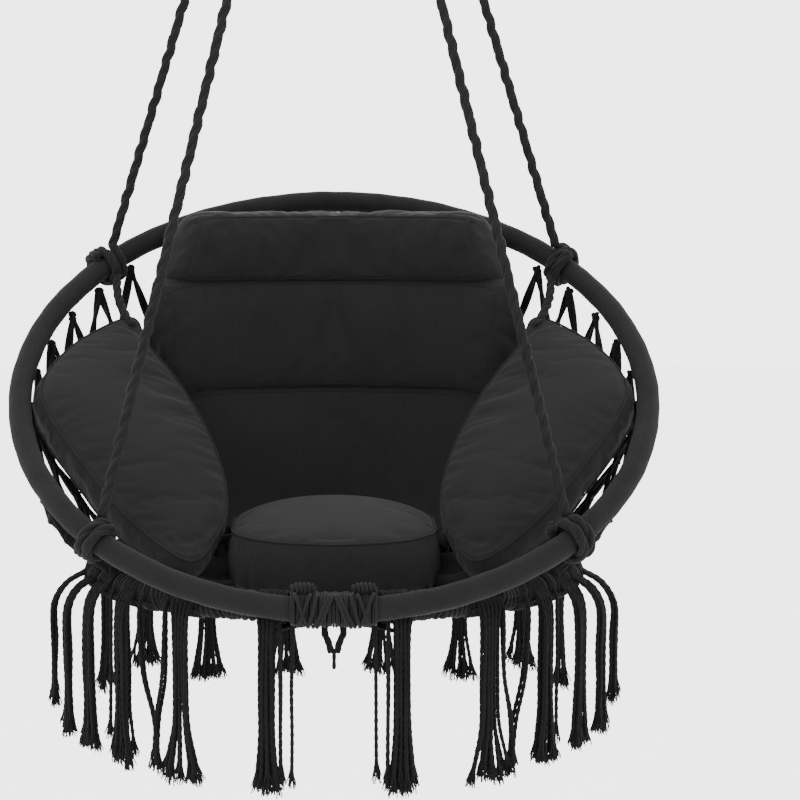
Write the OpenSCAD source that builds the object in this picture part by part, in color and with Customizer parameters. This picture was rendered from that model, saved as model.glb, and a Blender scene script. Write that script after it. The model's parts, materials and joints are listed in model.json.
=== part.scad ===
// Hanging macrame hammock chair: two corded steel rings lashed together at the front, a net
// between them, four suspension ropes, four tied-in cushions, a fringe, and the ceiling kit.
// The origin is at the centre of the ceiling plate, on its ceiling face. +Z is up.
// The sitter faces -Y and +X is on the right of a person who looks at the chair's front.
// All lengths are in millimetres and all angles in degrees.

/* [Rings] */
// Radius of the upper ring's centre line
upper_ring_r = 385; // [340:1:420]
// Radius of the lower ring's centre line
lower_ring_r = 290; // [262:1:300]
// Outer diameter of the steel tubes inside both rings
ring_tube_d = 22; // [16:0.5:24]
// Wall of the steel tubes
ring_tube_wall = 1.5; // [1:0.1:2.5]
// Thickness of the cord wound round the upper tube
upper_wrap_t = 3.7; // [2:0.1:5]
// Thickness of the cord wound round the lower tube
lower_wrap_t = 2.7; // [2:0.1:5]
// Angle of the upper ring above the horizontal, back edge high
ring_tilt = 35.4; // [28:0.2:42]
// Diameter of the drain hole in each tube
drain_hole_d = 4; // [3:0.5:6]

/* [Ropes and cords] */
// Diameter of the four suspension ropes
rope_d = 12; // [9:0.5:13]
// Diameter of the net's cord bundles
net_cord_d = 7; // [5:0.5:9]
// Diameter of the net's knots
net_knot_d = 15; // [11:0.5:18]
// Diameter of one fringe strand
strand_d = 4; // [3:0.5:5]
// Length of the fringe below the knots on the lower ring
fringe_drop = 176; // [120:1:220]
// Thickness of the lashing cord over the two rings
lashing_t = 4; // [3:0.5:6]
// Width of one lashing band
lashing_w = 11; // [8:0.5:14]

/* [Cushions] */
// Height of the back cushion's top channel
top_channel_h = 100; // [84:1:120]
// Height of the back cushion's middle channel
middle_channel_h = 160; // [130:1:180]
// Thickness of the back cushion
channel_t = 80; // [70:1:90]
// Thickness of a side cushion
side_cushion_t = 46; // [36:1:50]
// Width of the seat cushion
seat_w = 250; // [220:1:256]
// Depth of the seat cushion from front to back
seat_depth = 330; // [300:1:340]
// Thickness of the seat cushion
seat_t = 62; // [45:1:66]

/* [Ceiling kit] */
// Diameter of the ceiling plate
plate_d = 80; // [76:1:100]
// Thickness of the ceiling plate
plate_t = 3; // [2:0.5:5]
// Diameter of the circle of bolt holes
bolt_circle_d = 64; // [62:1:66]
// Diameter of the bolt holes in the plate
bolt_hole_d = 7; // [6.6:0.1:8]
// Diameter of the anchor studs
stud_d = 6; // [5:0.5:6]
// Diameter of the anchor sleeves, and of the holes drilled in the ceiling
sleeve_d = 10; // [9:0.5:11]
// Length of the anchor sleeves in the ceiling
sleeve_len = 42; // [30:1:60]
// Diameter of the raised boss
boss_d = 46; // [44:1:48]
// Height of the raised boss
boss_h = 9; // [6:1:14]
// Wire diameter of the welded eye
eye_wire_d = 8; // [6:0.5:9]
// Inside width of the eye
eye_inner_w = 20; // [18:1:22]
// Straight length of the eye's legs
eye_leg = 24; // [20:1:32]
// Wire diameter of the snap hook
hook_wire_d = 7; // [6:0.5:8]
// Overall height of the snap hook
hook_h = 90; // [84:1:110]
// Width of the snap hook at its narrow end
hook_top_w = 28.5; // [27:0.5:32]
// Width of the snap hook at its wide end
hook_bottom_w = 43; // [38:0.5:52]
// Wire diameter of the rope ring
rope_ring_wire_d = 8; // [6:0.5:9]
// Inside diameter of the rope ring
rope_ring_inner_d = 60; // [58:1:66]

/* [Hidden] */

$fn = 48;
// Gap between a piece and what it is seated on, and between two soft pieces
seat_gap = 0.3;
// Radial gap round a pressed or bolted shaft, and round the turning pin
fixed_gap = 0.05;
pin_gap = 0.06;

// Columns of the back net, from the right of the front round the back to the left
net_from_a = 60;
net_columns = 26;
net_rows = 4;
net_step = (360 - 2 * net_from_a) / net_columns;

// Where the upper ring's centre lies below the ceiling; the chair hangs in balance there
chair_y = -68;
chair_z = -1130;

upper_r = ring_tube_d / 2 + upper_wrap_t;
lower_r = ring_tube_d / 2 + lower_wrap_t;
rope_r = rope_d / 2;

// The lower ring lies level, right behind the upper ring at the front
lower_front_y = -upper_ring_r * cos(ring_tilt) + upper_r + lower_r + seat_gap;
lower_y = lower_front_y + lower_ring_r;
lower_z = -upper_ring_r * sin(ring_tilt) - 2;

// Points on the two rings' centre lines; angle 0 is the front and 90 is the right side
function upper_point(a) = [upper_ring_r * sin(a), -upper_ring_r * cos(a) * cos(ring_tilt),
    -upper_ring_r * cos(a) * sin(ring_tilt)];
function lower_point(a) = [lower_ring_r * sin(a), lower_y - lower_ring_r * cos(a), lower_z];
function unit(v) = v / norm(v);
function mix(a, b, t) = a + (b - a) * t;

module on_chair() translate([0, chair_y, chair_z]) children();

// Turns +Z to point along a direction
module aim(direction) {
    d = unit(direction);
    rotate([0, acos(d[2]), atan2(d[1], d[0])]) children();
}

// A round bar between two points
module bar(a, b, d) translate(a) aim(b - a) cylinder(h = norm(b - a), d = d, $fn = 24);

// A round ring about the Z axis
module torus(centre_r, wire_r) rotate_extrude($fn = 96) translate([centre_r, 0]) circle(r = wire_r);

// ---------------------------------------------------------------- ceiling kit

bolt_angles = [45, 135, 225, 315];
washer_t = 1.2;
washer_d = 12;
spring_washer_t = 1.6;
spring_washer_d = 10.4;
nut_h = 5;
nut_af = 10;
stud_end = 3;

module at_bolts() for (a = bolt_angles) rotate(a) translate([bolt_circle_d / 2, 0, 0]) children();

module ceiling_plate() color("silver") difference() {
    translate([0, 0, -plate_t]) cylinder(h = plate_t, d = plate_d, $fn = 96);
    at_bolts() translate([0, 0, -plate_t - 1]) cylinder(h = plate_t + 2, d = bolt_hole_d);
}

// The boss is a pressed cup with a rounded rim; the eye's legs pass through it
boss_wall = 2;
boss_round = 4;
boss_low = -plate_t - boss_h;

module boss_profile(r, h, round_r) {
    square([r, h - round_r]);
    square([r - round_r, h]);
    translate([r - round_r, h - round_r]) circle(r = round_r);
}

module plate_boss() color("silver") difference() {
    translate([0, 0, -plate_t]) mirror([0, 0, 1]) rotate_extrude($fn = 96) difference() {
        intersection() {
            boss_profile(boss_d / 2, boss_h, boss_round);
            square([boss_d, boss_h]);
        }
        translate([0, -1]) intersection() {
            boss_profile(boss_d / 2 - boss_wall, boss_h - boss_wall + 1, boss_round);
            square([boss_d, boss_h]);
        }
    }
    for (s = [-1, 1]) translate([s * eye_r, 0, boss_low - 1])
        cylinder(h = boss_h + 2, d = eye_wire_d + 2 * seat_gap);
}

eye_r = (eye_inner_w + eye_wire_d) / 2;
eye_crown_z = -plate_t - eye_leg - eye_r;

module plate_eye() color("silver") {
    for (s = [-1, 1]) translate([s * eye_r, 0, -plate_t - eye_leg])
        cylinder(h = eye_leg, d = eye_wire_d);
    translate([0, 0, -plate_t - eye_leg]) rotate([-90, 0, 0])
        rotate_extrude(angle = 180, $fn = 96) translate([eye_r, 0]) circle(d = eye_wire_d);
}

cone_h = 9;
cone_d = sleeve_d - 0.8;
sleeve_bore_d = stud_d + 0.5;
slit_w = 1;
slit_len = 20;

module anchor_sleeves() color("silver") at_bolts() difference() {
    cylinder(h = sleeve_len, d = sleeve_d);
    translate([0, 0, -1]) cylinder(h = sleeve_len + 2, d = sleeve_bore_d);
    for (a = [0, 90]) rotate(a) translate([-sleeve_d, -slit_w / 2, sleeve_len - slit_len])
        cube([2 * sleeve_d, slit_w, slit_len + 1]);
}

module anchor_studs() color("silver") at_bolts() {
    low = -plate_t - washer_t - spring_washer_t - nut_h - stud_end;
    translate([0, 0, low]) cylinder(h = sleeve_len + seat_gap - low, d = stud_d);
    translate([0, 0, sleeve_len + seat_gap]) cylinder(h = cone_h, d1 = stud_d, d2 = cone_d);
}

module flat_washers() color("silver") at_bolts() translate([0, 0, -plate_t - washer_t]) difference() {
    cylinder(h = washer_t, d = washer_d);
    translate([0, 0, -1]) cylinder(h = washer_t + 2, d = stud_d + 0.6);
}

module spring_washers() color("silver") at_bolts()
    translate([0, 0, -plate_t - washer_t - spring_washer_t]) difference() {
        cylinder(h = spring_washer_t, d = spring_washer_d);
        translate([0, 0, -1]) cylinder(h = spring_washer_t + 2, d = stud_d + 0.4);
        translate([0, -0.5, -1]) cube([spring_washer_d, 1, spring_washer_t + 2]);
    }

module anchor_nuts() color("silver") at_bolts()
    translate([0, 0, -plate_t - washer_t - spring_washer_t - nut_h]) difference() {
        cylinder(h = nut_h, d = nut_af / cos(30), $fn = 6);
        translate([0, 0, -1]) cylinder(h = nut_h + 2, d = stud_d + 2 * fixed_gap);
    }

// ---------------------------------------------------------------- snap hook

// The hook lies in the YZ plane. Its narrow bow rests on the eye's crown.
hook_r = hook_wire_d / 2;
hook_top_r = hook_top_w / 2 - hook_r;
hook_bottom_r = hook_bottom_w / 2 - hook_r;
hook_top_z = eye_crown_z + eye_wire_d / 2 + seat_gap + hook_r;
hook_bottom_z = hook_top_z - (hook_h - hook_wire_d);
top_centre_z = hook_top_z - hook_top_r;
bottom_centre_z = hook_bottom_z + hook_bottom_r;
side_lean = asin((hook_bottom_r - hook_top_r) / (top_centre_z - bottom_centre_z));

// Ends of the straight sides: side is 1 for the spine at the back, -1 for the gate at the front
function side_top(side) = [0, side * hook_top_r * cos(side_lean),
    top_centre_z + hook_top_r * sin(side_lean)];
function side_bottom(side) = [0, side * hook_bottom_r * cos(side_lean),
    bottom_centre_z + hook_bottom_r * sin(side_lean)];
function side_point(side, s) = side_top(side) + unit(side_bottom(side) - side_top(side)) * s;
function gate_point(s) = side_point(-1, s);
side_len = norm(side_bottom(1) - side_top(1));

// The straight bars are a shade thinner than the bows and dip into them
bar_dip = 0.6;
module hook_bar(a, b) bar(a, b, hook_wire_d - 0.1);

nose_len = 4;
gate_gap = 0.4;
gate_len = 35;
pin_d = 2.4;
tongue_t = 2.6;
nose_tongue_t = 2;
slot_side_gap = 0.2;
gate_end_r = hook_r - 0.2;
gate_top_s = nose_len + gate_gap;
pin_s = gate_top_s + gate_len - gate_end_r;
wire_end_s = pin_s + gate_end_r + gate_gap;

// Local frame along the gate: origin at a distance s from the side's top, +Z towards the top
module on_gate(s) translate(gate_point(s)) rotate([-side_lean, 0, 0]) children();

module cross_pin(d, len) rotate([0, 90, 0]) cylinder(h = len, d = d, center = true);

module snap_hook_body() color("silver") difference() {
    union() {
        translate([0, 0, top_centre_z]) rotate([90, 0, 90]) rotate(side_lean)
            rotate_extrude(angle = 180 - 2 * side_lean, $fn = 96)
                translate([hook_top_r, 0]) circle(r = hook_r);
        translate([0, 0, bottom_centre_z]) rotate([90, 0, 90]) rotate(180 - side_lean)
            rotate_extrude(angle = 180 + 2 * side_lean, $fn = 96)
                translate([hook_bottom_r, 0]) circle(r = hook_r);
        hook_bar(side_point(1, -bar_dip), side_point(1, side_len + bar_dip));
        hook_bar(side_point(-1, -bar_dip), gate_point(nose_len));
        hook_bar(gate_point(wire_end_s), side_point(-1, side_len + bar_dip));
        // Tongue that carries the gate's pin
        on_gate(pin_s) {
            cross_pin(2 * (gate_end_r - 0.4), tongue_t);
            translate([-tongue_t / 2, 0.4 - gate_end_r, -gate_end_r - 2])
                cube([tongue_t, 2 * (gate_end_r - 0.4), gate_end_r + 2]);
        }
        // Tooth that the gate closes on
        on_gate(nose_len) translate([-nose_tongue_t / 2, -hook_r * 0.6, -3.4])
            cube([nose_tongue_t, hook_r * 1.2, 4]);
    }
    on_gate(pin_s) cross_pin(pin_d + 2 * pin_gap, hook_wire_d + 2);
}

module snap_hook_gate() color("gainsboro") difference() {
    intersection() {
        on_gate(pin_s) translate([0, 0, -gate_end_r]) cylinder(h = gate_len, r = hook_r);
        union() {
            on_gate(pin_s) translate([-hook_wire_d, -hook_wire_d, 0])
                cube([2 * hook_wire_d, 2 * hook_wire_d, gate_len]);
            on_gate(pin_s) cross_pin(2 * gate_end_r, 2 * hook_wire_d);
        }
    }
    // Fork slot for the tongue, pin hole, and slot for the tooth
    on_gate(pin_s) translate([-tongue_t / 2 - slot_side_gap, -hook_wire_d, -2 * hook_wire_d])
        cube([tongue_t + 2 * slot_side_gap, 2 * hook_wire_d, 2 * hook_wire_d + gate_end_r + 0.4]);
    on_gate(pin_s) cross_pin(pin_d + 2 * fixed_gap, hook_wire_d + 2);
    on_gate(gate_top_s) translate([-nose_tongue_t / 2 - slot_side_gap, -hook_wire_d, -4])
        cube([nose_tongue_t + 2 * slot_side_gap, 2 * hook_wire_d, 5]);
}

module gate_pin() color("dimgray") on_gate(pin_s) cross_pin(pin_d, hook_wire_d - 0.8);

// ---------------------------------------------------------------- rope ring and ropes

rope_ring_r = (rope_ring_inner_d + rope_ring_wire_d) / 2;
rope_ring_z = hook_bottom_z + hook_r + seat_gap + rope_ring_wire_d / 2 - rope_ring_r;
rope_eye_angles = [-62, -22, 22, 62];
rope_eye_r = rope_ring_wire_d / 2 + seat_gap + rope_r;

module rope_ring() color("silver") translate([0, 0, rope_ring_z]) rotate([90, 0, 0])
    torus(rope_ring_r, rope_ring_wire_d / 2);

// Four eyes, spliced tight round the bottom of the ring
module rope_eyes() color("#232326") translate([0, 0, rope_ring_z])
    for (a = rope_eye_angles) rotate([0, -a, 0]) translate([0, 0, -rope_ring_r])
        rotate([0, 90, 0]) torus(rope_eye_r, rope_r);

// Routes of the ropes, from the eye on the ring to the hitch on the upper ring
rope_front_route = [[17, -1, -190.5], [266, -283, -1261]];
rope_back_route = [[39, 1, -170.3], [290, 126, -963]];

function mirror_x(points) = [for (p = points) [-p[0], p[1], p[2]]];

// A tube of equal rings along a route, cut into stretches of about step
function stretches(a, b, step) = max(1, round(norm(b - a) / step));
function route_points(route, step) = concat([for (i = [0 : len(route) - 2])
    for (j = [0 : stretches(route[i], route[i + 1], step) - 1])
        mix(route[i], route[i + 1], j / stretches(route[i], route[i + 1], step))],
    [route[len(route) - 1]]);
function side_axis(d) = unit(cross(d, abs(d[0]) < 0.9 ? [1, 0, 0] : [0, 1, 0]));

module tube_along(route, d, sides, step) {
    p = route_points(route, step);
    n = len(p);
    along = unit(route[len(route) - 1] - route[0]);
    u = side_axis(along);
    v = cross(along, u);
    rings = [for (q = p) for (k = [0 : sides - 1])
        q + d / 2 * (u * cos(360 * k / sides) + v * sin(360 * k / sides))];
    walls = [for (i = [0 : n - 2]) for (k = [0 : sides - 1])
        [i * sides + k, (i + 1) * sides + k, (i + 1) * sides + (k + 1) % sides,
            i * sides + (k + 1) % sides]];
    low_end = [for (k = [0 : sides - 1]) k];
    high_end = [for (k = [sides - 1 : -1 : 0]) (n - 1) * sides + k];
    polyhedron(points = rings, faces = concat([low_end], walls, [high_end]), convexity = 4);
}

rope_sides = 12;
module rope(route) color("#232326") tube_along(route, rope_d, rope_sides, 2.5 * rope_d);
module rope_front_left() rope(mirror_x(rope_front_route));
module rope_front_right() rope(rope_front_route);
module rope_back_left() rope(mirror_x(rope_back_route));
module rope_back_right() rope(rope_back_route);

// A hitch is two turns of rope side by side round the corded ring
front_hitch_a = 45;
back_hitch_a = net_from_a + 7.5 * net_step;

module hitch(a) color("#232326") on_chair() rotate([ring_tilt, 0, 0]) rotate(a)
    translate([0, -upper_ring_r, 0]) rotate([0, 90, 0]) for (s = [-1, 1])
        translate([0, 0, s * (rope_r + seat_gap / 2)]) torus(upper_r + seat_gap + rope_r, rope_r);

module hitch_front_left() hitch(-front_hitch_a);
module hitch_front_right() hitch(front_hitch_a);
module hitch_back_left() hitch(-back_hitch_a);
module hitch_back_right() hitch(back_hitch_a);

// ---------------------------------------------------------------- rings

module tube_ring(centre_r) difference() {
    torus(centre_r, ring_tube_d / 2);
    torus(centre_r, ring_tube_d / 2 - ring_tube_wall);
    translate([centre_r, 0, -ring_tube_d]) cylinder(h = ring_tube_d, d = drain_hole_d);
}

// The wound cord starts and ends at the back, where a narrow seam is left
seam_angle = 0.3;
module wrap_ring(centre_r, outer_r) rotate(90 + seam_angle / 2)
    rotate_extrude(angle = 360 - seam_angle, $fn = 96) translate([centre_r, 0]) difference() {
        circle(r = outer_r);
        circle(r = ring_tube_d / 2 + seat_gap / 2);
    }

module on_upper() on_chair() rotate([ring_tilt, 0, 0]) children();
module on_lower() on_chair() translate([0, lower_y, lower_z]) children();

module upper_ring_tube() color("dimgray") on_upper() tube_ring(upper_ring_r);
module lower_ring_tube() color("dimgray") on_lower() tube_ring(lower_ring_r);
module upper_ring_wrap() color("#1c1c1e") on_upper() wrap_ring(upper_ring_r, upper_r);
module lower_ring_wrap() color("#1c1c1e") on_lower() wrap_ring(lower_ring_r, lower_r);

// Lashing bands go round both rings where they lie side by side at the front
lashing_places = [-34, -17, 0, 17, 34];
lashing_bore_r = upper_r + 0.8;

module stadium(a, b, r) {
    translate(a) circle(r = r);
    translate(b) circle(r = r);
    side = [a[1] - b[1], b[0] - a[0]] / norm(b - a) * r;
    polygon([a + side, b + side, b - side, a - side]);
}

module lashing_band(x) {
    u = upper_point(asin(x / upper_ring_r));
    l = lower_point(asin(x / lower_ring_r));
    a = [u[1], u[2]];
    b = [l[1], l[2]];
    translate([x - lashing_w / 2, 0, 0]) rotate([90, 0, 90]) linear_extrude(height = lashing_w)
        difference() {
            stadium(a, b, lashing_bore_r + lashing_t);
            stadium(a, b, lashing_bore_r);
        }
}

module front_lashings() color("#1c1c1e") on_chair() for (x = lashing_places) lashing_band(x);

knot_x = 34;
lashing_knot_r = 10;
module lashing_knots() color("#1c1c1e") on_chair() for (s = [-1, 1]) {
    u = upper_point(asin(knot_x / upper_ring_r));
    lift = lashing_bore_r + lashing_t + seat_gap + lashing_knot_r;
    translate([s * knot_x, u[1], u[2] + lift]) sphere(r = lashing_knot_r);
}

// ---------------------------------------------------------------- net

net_bulge = 22;
net_gap = 0.25;

// The net runs between the outsides of the two rings; row 0 is at the upper ring. Each end
// knot is set off square to its ring, towards the other ring.
function upper_tangent(a) = [cos(a), sin(a) * cos(ring_tilt), sin(a) * sin(ring_tilt)];
function lower_tangent(a) = [cos(a), sin(a), 0];
function square_to(v, tangent) = unit(v - tangent * (v * tangent));
function net_start(a) = upper_point(a) + (upper_r + seat_gap + net_knot_d / 2)
    * square_to(lower_point(a) - upper_point(a), upper_tangent(a));
function net_end(a) = lower_point(a) + (lower_r + seat_gap + net_knot_d / 2)
    * square_to(upper_point(a) - lower_point(a), lower_tangent(a));
function outwards(a) = [sin(a), -cos(a), 0];
function net_knot(column, row) = let (a = net_from_a + column * net_step, t = row / net_rows)
    mix(net_start(a), net_end(a), t)
        + outwards(a) * net_bulge * sin(180 * t) * min(1, (1 - cos(a - 20)) / 0.6);

// Two cords that leave a knot at a narrow angle start side by side; way is 1 for the pair
// below a knot and -1 for the pair above it
net_reach = net_knot_d / 2 + net_gap;
function net_way(column, row, s, way) = unit(net_knot(column + s, row + way) - net_knot(column, row));
function net_fan(column, row, way) = let (
    spread = net_way(column, row, 0.5, way) - net_way(column, row, -0.5, way), sine = norm(spread) / 2)
    unit(spread) * max(0, net_cord_d / 2 * sqrt(1 - sine * sine) - net_reach * sine + net_gap / 2);

module net_bar(column, row, s) {
    a = net_knot(column, row);
    b = net_knot(column + s, row + 1);
    along = unit(b - a) * net_reach;
    bar(a + net_fan(column, row, 1) * sign(s) + along,
        b - net_fan(column + s, row + 1, -1) * sign(s) - along, net_cord_d);
}

module back_net() color("#1c1c1e") on_chair() for (row = [0 : net_rows])
    for (column = [row % 2 / 2 : 1 : net_columns - row % 2 / 2]) {
        translate(net_knot(column, row)) sphere(d = net_knot_d, $fn = 24);
        if (row < net_rows) for (s = [-0.5, 0.5])
            if (column + s >= 0 && column + s <= net_columns) net_bar(column, row, s);
    }

// Two layers of straight cords cross in the seat, stretched inside the lower ring
seat_cord_pitch = 64;
seat_cord_count = 4;
seat_cord_turn = 32;
seat_net_reach = lower_ring_r - lower_r - 2 * seat_gap;
module seat_cord(offset, layer) {
    half = sqrt(pow(seat_net_reach, 2) - pow(abs(offset) + net_cord_d / 2, 2));
    translate([offset, 0, layer * (net_cord_d / 2 + seat_gap / 2) - net_cord_d / 2])
        rotate([90, 0, 0]) cylinder(h = 2 * half, d = net_cord_d, center = true, $fn = 24);
}

// The cords that would run into the lashings stop against them
module lashing_room() translate([0, -lower_y, -lower_z]) {
    reach = lashing_bore_r + lashing_t + seat_gap;
    half_w = knot_x + lashing_w / 2 + seat_gap;
    l = lower_point(0);
    translate([-half_w, l[1] - reach, l[2] - reach]) cube([2 * half_w, 2 * reach + 4, 2 * reach]);
}
module seat_net() color("#1c1c1e") on_lower() difference() {
    for (layer = [-1, 1]) rotate(layer * seat_cord_turn)
        for (i = [-seat_cord_count : seat_cord_count]) seat_cord(i * seat_cord_pitch, layer);
    lashing_room();
}

// ---------------------------------------------------------------- cushions

// The back cushion is three stuffed channels, bent round the back of the chair
back_bend_r = lower_ring_r + 40;
back_bend_y = lower_y - 107;
back_top_z = upper_point(180)[2] - 13;
channel_overlap = 8;
channel_spans = [76, 88, 80];
channel_round = channel_t / 2 - 2;
back_bottom_z = lower_z + net_cord_d / 2 + 1.5 * seat_gap;
bottom_channel_h = back_top_z - back_bottom_z - top_channel_h - middle_channel_h + 2 * channel_overlap;
channel_heights = [top_channel_h, middle_channel_h, bottom_channel_h];
channel_tops = [back_top_z, back_top_z - top_channel_h + channel_overlap,
    back_bottom_z + bottom_channel_h];

module rounded_box(w, h, r) {
    translate([-w / 2 + r, -h / 2]) square([w - 2 * r, h]);
    translate([-w / 2, -h / 2 + r]) square([w, h - 2 * r]);
    for (x = [-1, 1]) for (y = [-1, 1]) translate([x * (w / 2 - r), y * (h / 2 - r)]) circle(r = r);
}

module channel(index) {
    span = channel_spans[index];
    h = channel_heights[index];
    translate([0, back_bend_y, channel_tops[index] - h / 2]) rotate(90 - span / 2)
        rotate_extrude(angle = span, $fn = 96) translate([back_bend_r, 0])
            rounded_box(channel_t, h, channel_round);
}

module back_cushion() color("#2c2c2f") on_chair() for (i = [0 : 2]) channel(i);

// A side cushion is a thick leaf that leans across the side of the chair. Its frame has the
// back tip at the origin, +X towards the front tip and +Y towards the middle of the chair.
leaf_tip = [124 - upper_ring_r, 137, 75];
leaf_along = [0.209, -0.782, -0.588];
leaf_normal = [0.283, -0.526, 0.802];
leaf_len = 442;
leaf_out = 138;
leaf_in = 76;

function circle_r(chord, rise) = (pow(chord / 2, 2) + pow(rise, 2)) / (2 * rise);

module leaf() {
    in_r = circle_r(leaf_len, leaf_in);
    out_r = circle_r(leaf_len, leaf_out);
    intersection() {
        translate([leaf_len / 2, leaf_in - in_r]) circle(r = in_r, $fn = 96);
        translate([leaf_len / 2, out_r - leaf_out]) circle(r = out_r, $fn = 96);
    }
}

module side_cushion(side) on_chair() mirror([side > 0 ? 1 : 0, 0, 0]) translate(leaf_tip)
    multmatrix(leaf_frame) translate([0, 0, -side_cushion_t]) linear_extrude(height = side_cushion_t)
        leaf();

leaf_across = cross(unit(leaf_normal), unit(leaf_along));
leaf_frame = [[unit(leaf_along)[0], leaf_across[0], unit(leaf_normal)[0], 0],
    [unit(leaf_along)[1], leaf_across[1], unit(leaf_normal)[1], 0],
    [unit(leaf_along)[2], leaf_across[2], unit(leaf_normal)[2], 0], [0, 0, 0, 1]];

module side_cushion_left() color("#2c2c2f") side_cushion(-1);
module side_cushion_right() color("#2c2c2f") side_cushion(1);

// The seat cushion lies on the seat net, inside the lower ring
seat_front_y = lower_y - 241;
seat_bottom_z = lower_z + net_cord_d / 2 + 1.5 * seat_gap;

module seat_cushion() color("#2c2c2f") on_chair()
    translate([0, seat_front_y, seat_bottom_z]) linear_extrude(height = seat_t) {
        translate([0, seat_w / 2]) circle(d = seat_w, $fn = 96);
        translate([0, seat_depth - seat_w / 2]) circle(d = seat_w, $fn = 96);
        translate([-seat_w / 2, seat_w / 2]) square([seat_w, seat_depth - seat_w]);
    }

// A tie is a flat tape that stands between the seat cushion's side and the side cushion
tie_w = 22;
tie_t = 3;
tie_h = 50;
module cushion_tie(side) color("#2c2c2f") on_chair() mirror([side > 0 ? 1 : 0, 0, 0])
    translate([-seat_w / 2 - seat_gap - tie_w, seat_front_y + seat_w / 2 + tie_t, seat_bottom_z])
        cube([tie_w, tie_t, tie_h]);
module cushion_tie_left() cushion_tie(-1);
module cushion_tie_right() cushion_tie(1);

// ---------------------------------------------------------------- fringe

front_tassels = [-34, -12.5, 12.5, 34];
side_tassels = [50, 61, 76];
back_tassels = [122, 145, 168, 192, 215, 238];
fringe_knot_d = 22;
strands = [-2, -1, 0, 1, 2];
strand_pitch = strand_d + 0.6;

module at_tassel(a) translate(lower_point(a)) rotate(a)
    translate([0, 0, -lower_r - seat_gap - fringe_knot_d / 2]) children();

module fringe_knots() color("#1c1c1e") on_chair()
    for (a = concat(front_tassels, side_tassels, -side_tassels, back_tassels))
        at_tassel(a) sphere(d = fringe_knot_d, $fn = 32);

module tassel(a) at_tassel(a) for (s = strands)
    translate([s * strand_pitch, 0, -fringe_knot_d / 2 - seat_gap - fringe_drop])
        cylinder(h = fringe_drop, d = strand_d, $fn = 16);

module fringe_front() color("#1a1a1c") on_chair() for (a = front_tassels) tassel(a);
module fringe_right() color("#1a1a1c") on_chair() for (a = side_tassels) tassel(a);
module fringe_left() color("#1a1a1c") on_chair() for (a = side_tassels) tassel(-a);
module fringe_back() color("#1a1a1c") on_chair() for (a = back_tassels) tassel(a);

// ---------------------------------------------------------------- output

ceiling_plate();
plate_boss();
plate_eye();
anchor_sleeves();
anchor_studs();
flat_washers();
spring_washers();
anchor_nuts();
snap_hook_body();
snap_hook_gate();
gate_pin();
rope_ring();
rope_eyes();
rope_front_left();
rope_front_right();
rope_back_left();
rope_back_right();
hitch_front_left();
hitch_front_right();
hitch_back_left();
hitch_back_right();
upper_ring_tube();
upper_ring_wrap();
lower_ring_tube();
lower_ring_wrap();
front_lashings();
lashing_knots();
fringe_knots();
back_net();
seat_net();
back_cushion();
side_cushion_left();
side_cushion_right();
seat_cushion();
cushion_tie_left();
cushion_tie_right();
fringe_front();
fringe_left();
fringe_right();
fringe_back();
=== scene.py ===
# %% [markdown]
# # A hanging macrame chair
# The chair is two steel rings wound in black cord, a knotted net between them, four stuffed
# cushions, a long fringe, and four twisted ropes that meet at a ring under a ceiling plate.
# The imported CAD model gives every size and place. This lesson builds the looks around it:
# first the camera and the ropes, then the finishes, the cordage, the cushions and the fringe.

# %% Load the frame
import json
import math
import random

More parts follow.
